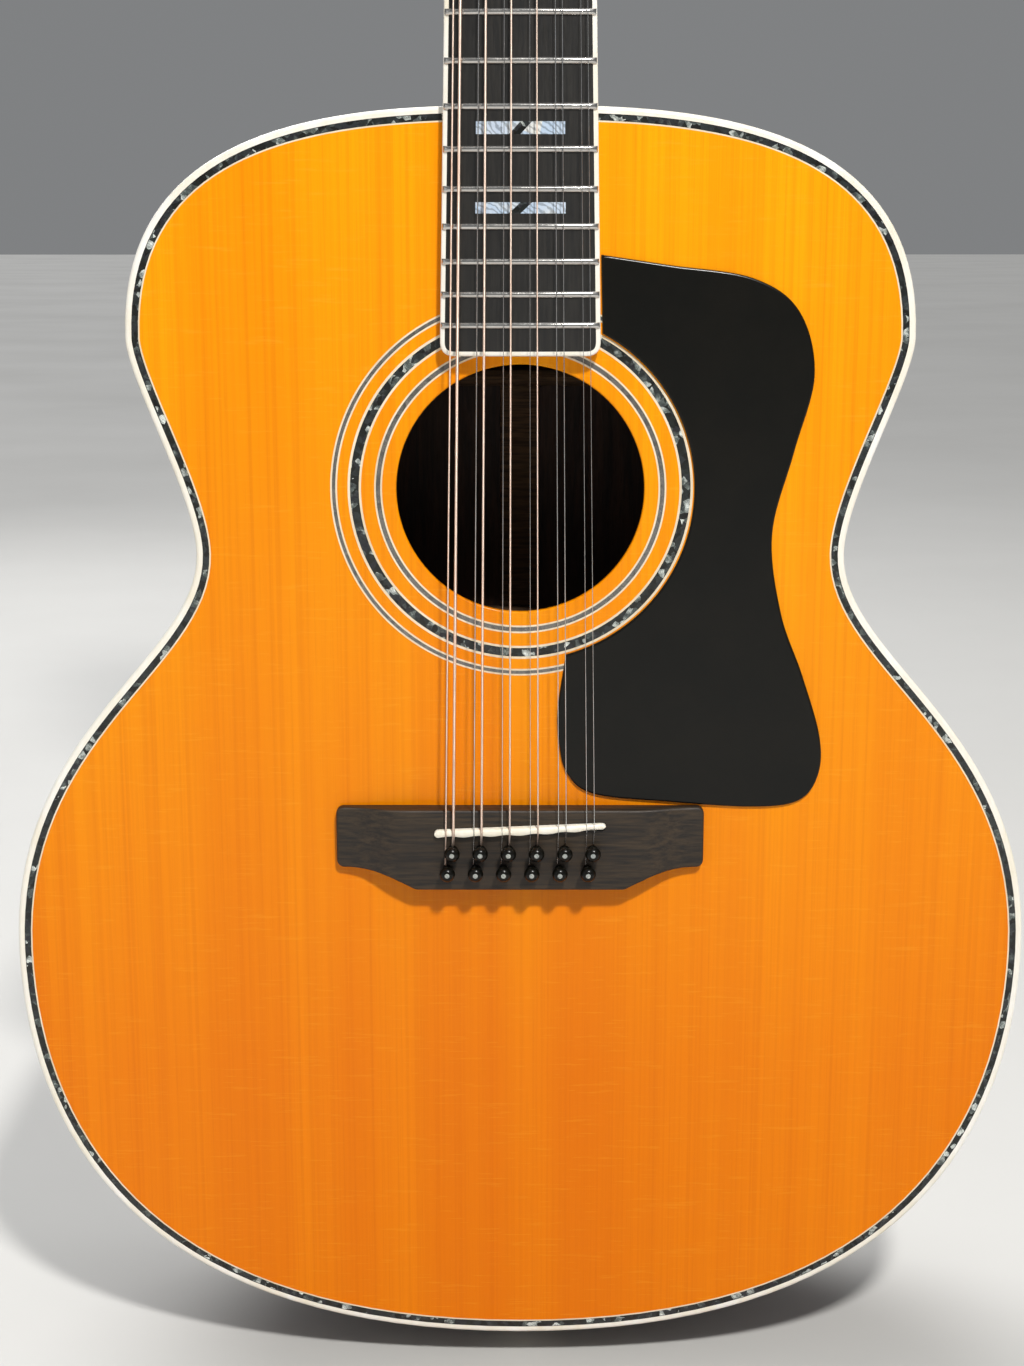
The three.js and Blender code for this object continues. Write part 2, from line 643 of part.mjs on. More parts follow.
// A bell-shaped cover, wide at its foot; heights are above the nut.
const ROD_COVER = { footHalf: 11, tipHalf: 8, foot: 5, shoulder: 38, tip: 46, thick: 1.6 };

function rodCover() {
  const { footHalf, tipHalf, foot, shoulder, tip, thick } = ROD_COVER;
  const shape = new THREE.Shape();
  shape.moveTo(-footHalf, foot);
  shape.lineTo(footHalf, foot);
  shape.bezierCurveTo(footHalf + 3, foot + 15, tipHalf + 1, foot + 17, tipHalf, shoulder);
  shape.quadraticCurveTo(tipHalf - 1, tip, 0, tip);
  shape.quadraticCurveTo(1 - tipHalf, tip, -tipHalf, shoulder);
  shape.bezierCurveTo(-tipHalf - 1, foot + 17, -footHalf - 3, foot + 15, -footHalf, foot);
  return slab(shape, VENEER_Y - GAP - thick, VENEER_Y - GAP, 6);
}

// The rod lies in its channel, and its hexagonal nut is reached under the cover.
function trussRod() {
  const top = NUT_Z + NUT.thick + 4;
  const y = FRONT_Y + 5.2;
  const rod = box(-2.6, 2.6, y - 3.6, y + 3.6, TOP_Z + 2, top);
  const hexagon = new THREE.CylinderGeometry(2.9, 2.9, 12, 6).rotateX(Math.PI / 2).translate(0, y, top + 5);
  return join(rod, hexagon);
}

function endPin() {
  const { shank, headRadius, length } = END_PIN;
  const face = headRadius - 1.5;
  const profile = [
    [0, 0], [face, 0], [headRadius, 1.5], [headRadius, 4.5], [4.6, 7.5], [4.6, 10],
    [6.2, 11.5], [6.2, TAIL_Z - GAP], [shank, TAIL_Z - GAP], [shank, length], [0, length],
  ];
  const lathe = new THREE.LatheGeometry(profile.map(([r, z]) => new THREE.Vector2(r, z)), 16);
  return lathe.rotateX(Math.PI / 2);
}

add("neck", neck(), MAHOGANY);
add("heel_cap", heelCap(), EBONY);
add("truss_rod", trussRod(), STEEL);
add("headstock_veneer", veneer(), EBONY, head);
add("truss_rod_cover", rodCover(), BLACK_PLASTIC, head);
add("end_pin", endPin(), EBONY);

// ---------- machine heads ----------
// A machine head's own frame: the origin is where its post's axis meets the headstock's back, x runs
// out to the button, z runs up the headstock and y runs back. The bass side's are mirror images.
function mirrored(geometry, side) {
  if (side > 0) {
    return geometry;
  }
  const bare = geometry.index ? geometry.toNonIndexed() : geometry.clone();
  const at = bare.attributes.position;
  const flipped = new Float32Array(at.array.length);
  for (let i = 0; i < at.count; i++) {
    const from = i - (i % 3) + (2 - (i % 3));
    flipped.set([-at.getX(from), at.getY(from), at.getZ(from)], 3 * i);
  }
  return new THREE.BufferGeometry().setAttribute("position", new THREE.BufferAttribute(flipped, 3));
}

const placed = (geometry, { side, x, z }) => mirrored(geometry, side).translate(x, HEAD.thick, z);

// The gear's teeth lean with the worm's thread where they meet it.
const LEAD = PITCH / (2 * Math.PI * WORM.pitchRadius);
const TOOTH = { tip: 0.45, valley: 1.1, tipHalf: 0.25 };
const PITCH_RADIUS = (GEAR.teeth * GEAR.module) / 2;

function gear() {
  const tip = PITCH_RADIUS + TOOTH.tip;
  const valley = PITCH_RADIUS - TOOTH.valley;
  const corners = [];
  for (let k = 0; k < GEAR.teeth; k++) {
    const middle = Math.PI / 2 + (2 * Math.PI * k) / GEAR.teeth;
    for (const [radius, turn] of [
      [valley, middle - Math.PI / GEAR.teeth],
      [tip, middle - TOOTH.tipHalf / tip],
      [tip, middle + TOOTH.tipHalf / tip],
    ]) {
      corners.push(new THREE.Vector2(radius * Math.cos(turn), radius * Math.sin(turn)));
    }
  }
  const disc = slab(new THREE.Shape(corners), GEAR.y - GEAR.wide / 2, GEAR.y + GEAR.wide / 2);
  const at = disc.attributes.position;
  for (let i = 0; i < at.count; i++) {
    const turn = -((at.getY(i) - GEAR.y) * LEAD) / PITCH_RADIUS;
    const point = new THREE.Vector2(at.getX(i), at.getZ(i)).rotateAround(new THREE.Vector2(), turn);
    at.setX(i, point.x);
    at.setZ(i, point.y);
  }
  return disc;
}

function post() {
  const back = GEAR.y + GEAR.wide / 2 + 1.2;
  const front = -(HEAD.thick + GAP + HEAD.veneer) - POST.reach;
  const shaftLong = back - front;
  const pin = new THREE.CylinderGeometry(POST.radius, POST.radius, shaftLong, 8);
  return join(pin.translate(0, (back + front) / 2, 0), gear());
}

// The worm: a hexagonal bar whose radius rises to a crest once in every pitch.
const CREST = [1, 0.2, 0, 0, 0, 0.2];

function worm() {
  const root = WORM.pitchRadius - 0.8;
  const crest = WORM.pitchRadius + 0.45;
  const sides = CREST.length;
  const steps = Math.round((WORM.length / PITCH) * sides);
  const loops = Array.from({ length: steps + 1 }, (_, k) =>
    Array.from({ length: sides }, (_, j) => {
      const turn = -Math.PI / 2 + (2 * Math.PI * j) / sides;
      const phase = (k - j + sides) % sides;
      const radius = root + (crest - root) * CREST[phase];
      const x = (k - steps / 2) * (PITCH / sides);
      return new THREE.Vector3(x, radius * Math.cos(turn), radius * Math.sin(turn));
    }),
  );
  return loft(loops);
}

// Loops of the knob along x: a collar, then an oval button.
const BUTTON = [
  { x: 0, thick: 2.6, wide: 2.6 },
  { x: 2.5, thick: 2.6, wide: 4 },
  { x: 5, thick: 3.6, wide: 8.6 },
  { x: 9, thick: 3.9, wide: 9.4 },
  { x: 13, thick: 3, wide: 8 },
  { x: 15, thick: 1.4, wide: 4.5 },
];

function button(start) {
  const sides = 10;
  return loft(
    BUTTON.map(({ x, thick, wide }) =>
      Array.from({ length: sides }, (_, j) => {
        const turn = (2 * Math.PI * j) / sides;
        return new THREE.Vector3(start + x, thick * Math.cos(turn), wide * Math.sin(turn));
      }),
    ),
  );
}

const sideSlope = (HEAD.tipHalf - HEAD.shoulder) / (HEAD.length - CROWN - SHOULDER_UP);
const headHalf = (z) => HEAD.shoulder + sideSlope * (z - SHOULDER_UP);

function knob(i) {
  const start = headHalf(postZ(i)) - postX(i) + 3.2;
  const from = WORM.length / 2 - 1;
  const stem = new THREE.CylinderGeometry(1.4, 1.4, start + 1 - from, 8)
    .rotateZ(Math.PI / 2)
    .translate((start + 1 + from) / 2, 0, 0);
  return join(worm(), stem, button(start)).translate(0, GEAR.y, WORM_OFFSET);
}

// Six gear covers on one plate; each cover is open towards the headstock.
const COVER = { x0: -6.4, x1: 8.2, z0: -6.2, z1: 10.4, back: 8, wall: 1 };
const PLATE = { thick: 1.2, lip: 1.4, below: 10, above: 14 };

function bank(side) {
  const mine = places.filter((place) => place.side === side);
  const { x0, x1, z0, z1, back, wall } = COVER;
  const shells = mine.map((place) => placed(box(x0, x1, GAP, back, z0, z1), place));
  const hollows = mine.map((place) =>
    placed(box(x0 + wall, x1 - wall, -2, back - wall, z0 + wall, z1 - wall), place),
  );
  const stems = mine.map((place) => {
    const hole = new THREE.CylinderGeometry(2.1, 2.1, 6, 10).rotateZ(Math.PI / 2);
    return placed(hole.translate(x1, GEAR.y, WORM_OFFSET), place);
  });
  const corner = (x, i, up) => new THREE.Vector2(side * (postX(i) + x), postZ(i) + up);
  const last = TUNERS - 1;
  const outline = new THREE.Shape([
    corner(x0 + PLATE.lip, 0, -PLATE.below),
    corner(x1 - PLATE.lip, 0, -PLATE.below),
    corner(x1 - PLATE.lip, last, PLATE.above),
    corner(x0 + PLATE.lip, last, PLATE.above),
  ]);
  const plate = slab(outline, HEAD.thick + GAP, HEAD.thick + GAP + PLATE.thick);
  return cut(join(plate, ...shells), ...hollows, ...stems);
}

for (const { name, side } of SIDES) {
  add(`${name}_tuner_covers`, bank(side), GOLD, head);
}
for (const place of places) {
  add(`${place.name}_post_${place.i + 1}`, placed(post(), place), STEEL, head);
  add(`${place.name}_knob_${place.i + 1}`, placed(knob(place.i), place), GOLD, head);
}

// ---------- strings ----------
// A wire of six sides through a few points.
function wire(points, radius) {
  const sides = 6;
  const across = new THREE.Vector3(1, 0, 0);
  const loops = points.map((point, k) => {
    const along = points[Math.min(k + 1, points.length - 1)].clone().sub(points[Math.max(k - 1, 0)]);
    const up = along.clone().cross(across).normalize();
    const out = up.clone().cross(along).normalize();
    return Array.from({ length: sides }, (_, j) => {
      const turn = (2 * Math.PI * j) / sides;
      const sideways = point.clone().addScaledVector(out, radius * Math.cos(turn));
      return sideways.addScaledVector(up, radius * Math.sin(turn));
    });
  });
  return loft(loops);
}

// The courses from the bass side to the treble side, each with its left and its right string.
const STRINGS = [
  [{ name: "low_e_octave", width: 0.69, wound: true }, { name: "low_e", width: 1.19, wound: true }],
  [{ name: "a_octave", width: 0.46 }, { name: "a", width: 0.99, wound: true }],
  [{ name: "d_octave", width: 0.3 }, { name: "d", width: 0.76, wound: true }],
  [{ name: "g_octave", width: 0.23 }, { name: "g", width: 0.58, wound: true }],
  [{ name: "b_left", width: 0.36 }, { name: "b_right", width: 0.36 }],
  [{ name: "high_e_left", width: 0.25 }, { name: "high_e_right", width: 0.25 }],
];
const PIN_CLEARANCE = 3.1; // a string starts this far above its pin's middle
const WIND_HEIGHT = 4.5; // of the string at its post, above the veneer

function stringPath(course, member, radius) {
  const lane = (step, pair) => (course - (COURSES - 1) / 2) * step + (member - 0.5) * pair;
  const saddleX = lane(COURSE_STEP, PAIR_STEP);
  const nutX = lane(COURSE_STEP_NUT, PAIR_STEP_NUT);
  const saddleRearZ = saddleZ(saddleX) - SADDLE.thick / 2;
  const rise = GAP + radius;
  const pin = PIN_ROWS[member];
  const bass = course < COURSES / 2;
  const outer = bass ? 1 - member : member;
  const tuner = 2 * (bass ? course : COURSES - 1 - course) + (1 - outer);
  const postSide = (bass ? -1 : 1) * (postX(tuner) - POST.radius - rise);
  return [
    new THREE.Vector3(
      courseX(course) + pin.x + pin.leave, bridgeTopY - rise, BRIDGE_Z + pin.up + PIN_CLEARANCE,
    ),
    new THREE.Vector3(saddleX, FRONT_Y - SADDLE.crest + camber(saddleX) - rise, saddleRearZ),
    new THREE.Vector3(nutX, BOARD_Y - NUT.rise + camber(nutX) - rise, NUT_Z + NUT.thick - GAP),
    new THREE.Vector3(postSide, VENEER_Y - WIND_HEIGHT, postZ(tuner)).applyMatrix4(head.matrix),
  ];
}

STRINGS.forEach((pair, course) => {
  pair.forEach(({ name, width, wound }, member) => {
    const radius = width / 2;
    add(`${name}_string`, wire(stringPath(course, member, radius), radius), wound ? BRONZE : STEEL);
  });
});

export default group;
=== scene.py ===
"""A twelve-string jumbo acoustic guitar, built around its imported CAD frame.

Lengths in this script are millimetres in the frame's own axes (+Z up the neck, the soundboard facing
-Y, the bass side at -X) until place_mesh() turns them into metres. A part is (verts, faces, flat): the
points, the faces, and the numbers of the faces that are shaded flat.
"""

import math

import bmesh
import bpy
from mathutils import Euler, Matrix, Vector
from mathutils.geometry import interpolate_bezier, tessellate_polygon


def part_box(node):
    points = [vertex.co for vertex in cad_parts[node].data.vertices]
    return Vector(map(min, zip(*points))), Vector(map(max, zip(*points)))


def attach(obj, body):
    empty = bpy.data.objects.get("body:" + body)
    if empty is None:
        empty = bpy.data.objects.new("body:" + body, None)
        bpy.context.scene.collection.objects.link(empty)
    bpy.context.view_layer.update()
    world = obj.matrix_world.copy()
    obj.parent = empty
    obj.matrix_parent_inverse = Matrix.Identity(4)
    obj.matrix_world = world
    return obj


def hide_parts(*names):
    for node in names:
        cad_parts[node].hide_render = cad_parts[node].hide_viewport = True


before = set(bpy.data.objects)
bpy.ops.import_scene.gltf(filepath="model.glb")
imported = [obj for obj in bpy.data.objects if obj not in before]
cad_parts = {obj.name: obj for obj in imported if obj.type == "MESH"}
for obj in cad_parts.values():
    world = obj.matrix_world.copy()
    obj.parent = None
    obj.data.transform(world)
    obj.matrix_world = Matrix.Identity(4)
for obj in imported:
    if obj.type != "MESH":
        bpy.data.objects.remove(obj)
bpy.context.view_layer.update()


# ---------- places, from the frame ----------
def node_box(node):
    """A CAD node's lowest and highest corners in millimetres."""
    low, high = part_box(node)
    return low * 1000, high * 1000


SIDES_LOW, SIDES_HIGH = node_box("sides")
BOARD_LOW, _ = node_box("fingerboard")
NUT_LOW, NUT_HIGH = node_box("nut")

SCALE = 647.7
TAIL_Z = SIDES_LOW.z
TOP_Z = SIDES_HIGH.z
FRONT_Y = node_box("soundboard")[0].y
BACK_Y = node_box("back_binding")[1].y  # of the back at the tail
BACK_SLOPE = 22 / (TOP_Z - TAIL_Z)
NUT_Z = NUT_LOW.z
BRIDGE_Z = NUT_Z - SCALE
BOARD_Y = BOARD_LOW.y  # playing face of the fingerboard, at its middle
HOLE_Z = BRIDGE_Z + 137.3
HOLE_RADIUS = 50.8
CAMBER_RADIUS = 406
GLUE = FRONT_Y + 0.02  # the back of whatever is glued to the top

HEAD_TILT = math.radians(14)
HEAD_ORIGIN = Vector((0, FRONT_Y, NUT_Z + 5))
HEAD_THICK = 14
VENEER_Y = -2.0  # the veneer's front face in the headstock's own frame
TUNERS = 6  # on each side

COURSE_STEP, COURSE_STEP_NUT = 11.8, 7.9
PAIR_STEP, PAIR_STEP_NUT = 3.2, 2.2


def back_y(z):
    """The back's outer face."""
    return BACK_Y - BACK_SLOPE * (z - TAIL_Z)


def under_back(depth):
    """A face that runs along inside the back's outer one."""
    return lambda z: back_y(z) - depth


def camber(x):
    """How far a crowned face has fallen at x."""
    return CAMBER_RADIUS - math.sqrt(CAMBER_RADIUS**2 - x * x)


def board_half(z):
    """Half the fingerboard's width at a height."""
    return 23.4 + (32.3 - 23.4) * (NUT_Z - z) / (NUT_Z - BOARD_LOW.z)


def head_point(x, y, z):
    """A point given in the headstock's own frame: z up it from the nut, y back from its front face."""
    return HEAD_ORIGIN + Matrix.Rotation(-HEAD_TILT, 3, "X") @ Vector((x, y, z))


# ---------- curves ----------
def arc(start, stop, steps):
    """Angles from start to stop, both included."""
    return [start + (stop - start) * k / steps for k in range(steps + 1)]


def full_turn(steps):
    return [2 * math.pi * k / steps for k in range(steps)]


def circle(radius, steps=64, x=0.0, z=0.0):
    return [(x + radius * math.cos(t), z + radius * math.sin(t)) for t in full_turn(steps)]


def mirrored(right):
    """A right half outline that ends on the middle line, and its left half."""
    return right + [(-x, z) for x, z in reversed(right[:-1])]


def inset(outline, distance):
    """A closed outline of (x, z) points, anticlockwise, moved inwards."""
    count = len(outline)
    moved_in = []
    for i, (x, z) in enumerate(outline):
        before, after = outline[i - 1], outline[(i + 1) % count]
        along = Vector((after[0] - before[0], after[1] - before[1])).normalized()
        moved_in.append((x - along.y * distance, z + along.x * distance))
    return moved_in


def bezier(*control, steps=24):
    """Points of a cubic curve in the plane, without its last one."""
    corners = [Vector((x, z, 0)) for x, z in control]
    return [(p.x, p.y) for p in interpolate_bezier(*corners, steps + 1)[:-1]]


def spline(points, steps=8):
    """An open Catmull-Rom curve through a few points."""
    last = len(points) - 1
    curve = []
    for i in range(last):
        near = [points[min(max(i + k, 0), last)] for k in (-1, 0, 1, 2)]
        for k in range(steps):
            t = k / steps
            curve.append(tuple(
                b + t * (c - a + t * (2 * a - 5 * b + 4 * c - d + t * (3 * b - a - 3 * c + d))) / 2
                for a, b, c, d in zip(*near)
            ))
    return curve + [points[-1]]


def between(rows, x):
    """Linear interpolation in a short table of (x, value) rows."""
    for (x0, v0), (x1, v1) in zip(rows, rows[1:]):
        if x <= x1:
            return v0 + (v1 - v0) * max(0.0, x - x0) / (x1 - x0)
    return rows[-1][1]


# ---------- mesh helpers ----------
MATERIALS = {}


def place_mesh(name, mesh, body, replaces):
    """An object for a mesh, riding on its body, in place of any CAD nodes that it replaces."""
    made = bpy.data.objects.new(name, mesh)
    bpy.context.scene.collection.objects.link(made)
    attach(made, body)
    if replaces:
        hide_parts(replaces)
    return made


def raw_mesh(name, part, **settings):
    mesh = bpy.data.meshes.new(name)
    mesh.from_pydata([Vector(v) / 1000 for v in part[0]], [], part[1], **settings)
    return mesh


def shade(mesh, smooth, sharp):
    """Smooth shading with sharp edges beyond an angle, and flat faces where smooth is false."""
    mesh.set_sharp_from_angle(angle=math.radians(sharp))
    mesh.polygons.foreach_set("use_smooth", smooth)


def piece(name, part, material, body="root", replaces=None, sharp=35):
    """One visible object from one part, or from several that are joined."""
    if isinstance(part, list):
        part = merged(part)
    mesh = raw_mesh(name, part)
    flat = set(part[2])
    shade(mesh, [i not in flat for i in range(len(part[1]))], sharp)
    mesh.materials.append(MATERIALS[material])
    return place_mesh(name, mesh, body, replaces)


def carved(name, blank, tools, material, body="root", replaces=None, sharp=35):
    """A piece with other closed bodies cut out of it."""
    made = piece(name, blank, material, body, replaces, sharp)
    tool = bpy.data.objects.new("tool", raw_mesh("tool", merged(tools), shade_flat=False))
    bpy.context.scene.collection.objects.link(tool)
    cutter = made.modifiers.new("cut", "BOOLEAN")
    cutter.operation = "DIFFERENCE"
    cutter.solver = "MANIFOLD"
    cutter.object = tool
    bpy.context.view_layer.update()
    result = bpy.data.meshes.new_from_object(made.evaluated_get(bpy.context.evaluated_depsgraph_get()))
    made.modifiers.clear()
    made.data = result
    bpy.data.objects.remove(tool)
    shade(result, [face.use_smooth for face in result.polygons], sharp)


def softened(node, material, width):
    """A copy of a CAD node with its edges rounded."""
    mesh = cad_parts[node].data.copy()
    mesh.materials.clear()
    mesh.materials.append(MATERIALS[material])
    form = bmesh.new()
    form.from_mesh(mesh)
    bmesh.ops.remove_doubles(form, verts=form.verts, dist=1e-6)
    bmesh.ops.dissolve_limit(form, angle_limit=math.radians(1), verts=form.verts, edges=form.edges)
    edges = [e for e in form.edges if e.is_manifold and e.calc_face_angle(0) > math.radians(30)]
    bmesh.ops.bevel(
        form, geom=edges, offset=width / 1000, segments=2, profile=0.5, affect="EDGES", clamp_overlap=True
    )
    form.to_mesh(mesh)
    form.free()
    mesh.shade_smooth()
    mesh.set_sharp_from_angle(angle=math.radians(40))
    place_mesh(f"{node}_soft", mesh, "root", node)


def merged(parts):
    """Several parts as one."""
    verts, faces, flat = [], [], []
    for more, polygons, level in parts:
        start = len(verts)
        flat.extend(len(faces) + i for i in level)
        faces.extend([tuple(start + i for i in polygon) for polygon in polygons])
        verts.extend(more)
    return verts, faces, flat


def outward(part):
    """A closed part with its faces turned outwards."""
    verts, faces, flat = part
    volume = 0.0
    for face in faces:
        a = Vector(verts[face[0]])
        for i in range(1, len(face) - 1):
            volume += a.dot(Vector(verts[face[i]]).cross(Vector(verts[face[i + 1]])))
    return part if volume > 0 else (verts, [tuple(reversed(f)) for f in faces], flat)


def loft(loops, closed=False):
    """A skin through loops of equally many points; closed joins the last loop to the first."""
    sides = len(loops[0])
    verts = [p for loop in loops for p in loop]
    faces, flat = [], []
    for k in range(len(loops) if closed else len(loops) - 1):
        a = k * sides
        b = (k + 1) % len(loops) * sides
        for i in range(sides):
            j = (i + 1) % sides
            faces.append((a + i, a + j, b + j, b + i))
    if not closed:
        flat = [len(faces), len(faces) + 1]
        faces.append(tuple(reversed(range(sides))))
        faces.append(tuple((len(loops) - 1) * sides + i for i in range(sides)))
    return outward((verts, faces, flat))


def soft_ended(part):
    """A loft whose end caps are shaded on from its sides."""
    return part[0], part[1], []


def placed(part, place):
    """A closed part with every point placed."""
    return outward(([place(Vector(v)) for v in part[0]], part[1], part[2]))


def lathe(profile, steps=32, place=None):
    """(radius, height) points turned about a y axis: height runs towards -y. Both ends are on the axis."""
    rows = profile[1:-1]
    verts = [Vector((r * math.cos(t), -h, r * math.sin(t))) for r, h in rows for t in full_turn(steps)]
    verts += [Vector((0, -profile[0][1], 0)), Vector((0, -profile[-1][1], 0))]
    last = (len(rows) - 1) * steps
    faces = []
    for i in range(steps):
        j = (i + 1) % steps
        faces += [(a + i, a + j, a + steps + j, a + steps + i) for a in range(0, last, steps)]
        faces += [(j, i, len(verts) - 2), (last + i, last + j, len(verts) - 1)]
    return placed((verts, faces, []), place or (lambda v: v))


def sweep(points, radius, sides=10):
    """A round wire along points."""
    loops = []
    last = len(points) - 1
    up = (points[1] - points[0]).normalized().orthogonal().normalized()
    for k, point in enumerate(points):
        along = (points[min(k + 1, last)] - points[max(k - 1, 0)]).normalized()
        up = (up - along * up.dot(along)).normalized()
        side = along.cross(up)
        loops.append([point + (up * math.cos(t) + side * math.sin(t)) * radius for t in full_turn(sides)])
    return loft(loops)


def edge_rounds(radius):
    """(inset, depth) of the points that round a plate's edge, from its face to its side."""
    if not radius:
        return [(0, 0)]
    return [(radius * (1 - math.sin(t)), radius * (1 - math.cos(t))) for t in arc(0, math.pi / 2, 3)]


def plate(outer, holes, front, back, round_front=0.0, round_back=0.0, hole_round=0.0, place=None):
    """A flat part with rounded edges. Outlines are (x, z) loops, and front and back are y or y(z)."""
    front_at = front if callable(front) else lambda z: front
    back_at = back if callable(back) else lambda z: back
    verts, faces, flat, rims = [], [], [], []
    for number, outline in enumerate([outer] + holes):
        sign = -1 if number else 1
        rows = []
        for shrink, depth in edge_rounds(hole_round if number else round_front):
            rows.append([Vector((x, front_at(z) + depth, z)) for x, z in inset(outline, sign * shrink)])
        for shrink, depth in reversed(edge_rounds(hole_round if number else round_back)):
            rows.append([Vector((x, back_at(z) - depth, z)) for x, z in inset(outline, sign * shrink)])
        count = len(outline)
        first, last = len(verts), len(verts) + (len(rows) - 1) * count
        verts += [place(*p) if place else p for row in rows for p in row]
        for a in range(first, last, count):
            for i in range(count):
                j = (i + 1) % count
                quad = (a + i, a + j, a + count + j, a + count + i)
                faces.append(quad if number else quad[::-1])
        rims.append((range(first, first + count), range(last, last + count)))
    for end in (0, 1):
        numbers = [i for rim in rims for i in rim[end]]
        outlines = [[Vector((verts[i].x, verts[i].z, 0)) for i in rim[end]] for rim in rims]
        for triangle in tessellate_polygon(outlines):
            a, b, c = (numbers[i] for i in triangle)
            faces_back = (verts[b] - verts[a]).cross(verts[c] - verts[a]).y > 0
            flat.append(len(faces))
            faces.append((a, b, c) if faces_back == bool(end) else (a, c, b))
    return verts, faces, flat


# ---------- camera and lights ----------
def in_scene(name, data, place=(0, 0, 0), rotation=(0, 0, 0)):
    made = bpy.data.objects.new(name, data)
    made.location = place
    made.rotation_euler = rotation
    bpy.context.scene.collection.objects.link(made)
    return made


def camera():
    data = bpy.data.cameras.new("camera")
    data.lens = 55.442
    data.sensor_width = 36
    data.clip_start = 0.01
    turned = Euler([math.radians(a) for a in (77.558, 0.014, 0.123)], "XYZ")
    bpy.context.scene.camera = in_scene("camera", data, (-0.0015, -0.9214, 0.5012), turned)


def aimed(direction):
    """The rotation that points a light along a direction."""
    return direction.to_track_quat("-Z", "Y").to_euler()


def area_light(name, place, target, size, power, colour=(1, 1, 1)):
    data = bpy.data.lights.new(name, "AREA")
    data.shape = "DISK"
    data.size = size
    data.energy = power
    data.color = colour
    in_scene(name, data, place, aimed(Vector(target) - Vector(place)))


def wide_light(name, direction, angle, strength):
    """Even light from behind that reaches the floor as far as it goes."""
    data = bpy.data.lights.new(name, "SUN")
    data.angle = math.radians(angle)
    data.energy = strength
    in_scene(name, data, rotation=aimed(Vector(direction)))


def surroundings(colour, strength):
    world = bpy.data.worlds.new("studio")
    world.use_nodes = True
    sky = world.node_tree.nodes["Background"]
    sky.inputs["Color"].default_value = colour
    sky.inputs["Strength"].default_value = strength
    bpy.context.scene.world = world


camera()
area_light("key", (0.62, -2.05, 2.6), (0, 0, 0.45), 0.26, 96, (1, 0.985, 0.96))
area_light("fill", (-1.9, -1.7, 1.1), (0, 0, 0.5), 1.6, 3, (0.96, 0.98, 1))
area_light("above", (0.2, 0.5, 2.7), (0, 0, 0.5), 1.8, 9)
area_light("behind", (-0.9, 2.1, 1.5), (0, 0, 0.5), 1.5, 16)
wide_light("wide", (0.25, -0.62, -0.75), 40, 1.6)
surroundings((0.86, 0.88, 0.9, 1), 0.25)
bpy.context.scene.view_settings.view_transform = "Standard"


# ---------- material helpers ----------
def rgb(red, green, blue):
    """A screen colour, 0 to 255, as the linear one that a shader takes."""
    linear = [((c / 255 + 0.055) / 1.055) ** 2.4 if c > 10 else c / 255 / 12.92 for c in (red, green, blue)]
    return (*linear, 1)


class Paint:
    """A new material and the nodes that lead to its shader. Texture scales are in metres."""

    def __init__(self, name, **sockets):
        material = bpy.data.materials.new(name)
        material.use_nodes = True
        self.tree = material.node_tree
        self.shader = self.tree.nodes["Principled BSDF"]
        for socket, value in sockets.items():
            self.shader.inputs[socket.replace("_", " ")].default_value = value
        self.place = self.node("TexCoord").outputs["Object"]
        MATERIALS[name] = material

    def node(self, kind, settings=(), **inputs):
        """A node with its inputs linked or set. An input named _3 is the one numbered 3."""
        made = self.tree.nodes.new("ShaderNode" + kind)
        for key, value in dict(settings).items():
            setattr(made, key, value)
        for key, value in inputs.items():
            socket = made.inputs[int(key[1:]) if key[0] == "_" else key.replace("_", " ")]
            if isinstance(value, bpy.types.NodeSocket):
                self.tree.links.new(value, socket)
            else:
                socket.default_value = value
        return made

    def stretched(self, x, y, z, turn=(0, 0, 0)):
        """Object coordinates scaled along each axis, so that a texture's grain is longer one way."""
        turned = tuple(math.radians(a) for a in turn)
        return self.node("Mapping", Vector=self.place, Scale=(x, y, z), Rotation=turned).outputs[0]

    def noise(self, where, scale=1.0, detail=3.0, rough=0.55, distortion=0.0):
        made = self.node(
            "TexNoise", Vector=where, Scale=scale, Detail=detail, Roughness=rough, Distortion=distortion
        )
        return made.outputs["Fac"]

    def bands(self, where, axis, scale, distortion, detail):
        settings = {"bands_direction": axis}
        made = self.node("TexWave", settings, Vector=where, Scale=scale, Distortion=distortion, Detail=detail)
        return made.outputs["Fac"]

    def ramp(self, value, *stops):
        """Stops are (position, colour or grey)."""
        made = self.node("ValToRGB", Fac=value)
        ends = made.color_ramp.elements
        while len(ends) < len(stops):
            ends.new(0.5)
        for end, (position, colour) in zip(ends, stops):
            end.position = position
            end.color = colour if isinstance(colour, tuple) else (colour, colour, colour, 1)
        return made.outputs["Color"]

    def maths(self, operation, a, b):
        return self.node("Math", {"operation": operation}, _0=a, _1=b).outputs[0]

    def mix(self, share, a, b):
        return self.node("Mix", {"data_type": "RGBA"}, _0=share, _6=a, _7=b).outputs[2]

    def two_tone(self, value, start, stop, base, tint):
        """Base turning to tint as a texture's value runs from start to stop."""
        return self.mix(self.ramp(value, (start, 0.0), (stop, 1.0)), rgb(*base), rgb(*tint))

    def fleck(self, colour, value, start, stop, most, tint):
        """Tint laid over a colour where a texture's value is high, at most so much of it."""
        return self.mix(self.ramp(value, (start, 0.0), (stop, most)), colour, tint)

    def smudges(self, low, high, scale=14):
        """Roughness that drifts a little, as a handled surface does."""
        return self.ramp(self.noise(self.place, scale, 4), (0.3, low), (0.7, high))

    def set(self, colour, roughness, height, depth, strength):
        self.tree.links.new(colour, self.shader.inputs["Base Color"])
        self.tree.links.new(roughness, self.shader.inputs["Roughness"])
        bump = self.node("Bump", Height=height, Distance=depth, Strength=strength)
        self.tree.links.new(bump.outputs[0], self.shader.inputs["Normal"])


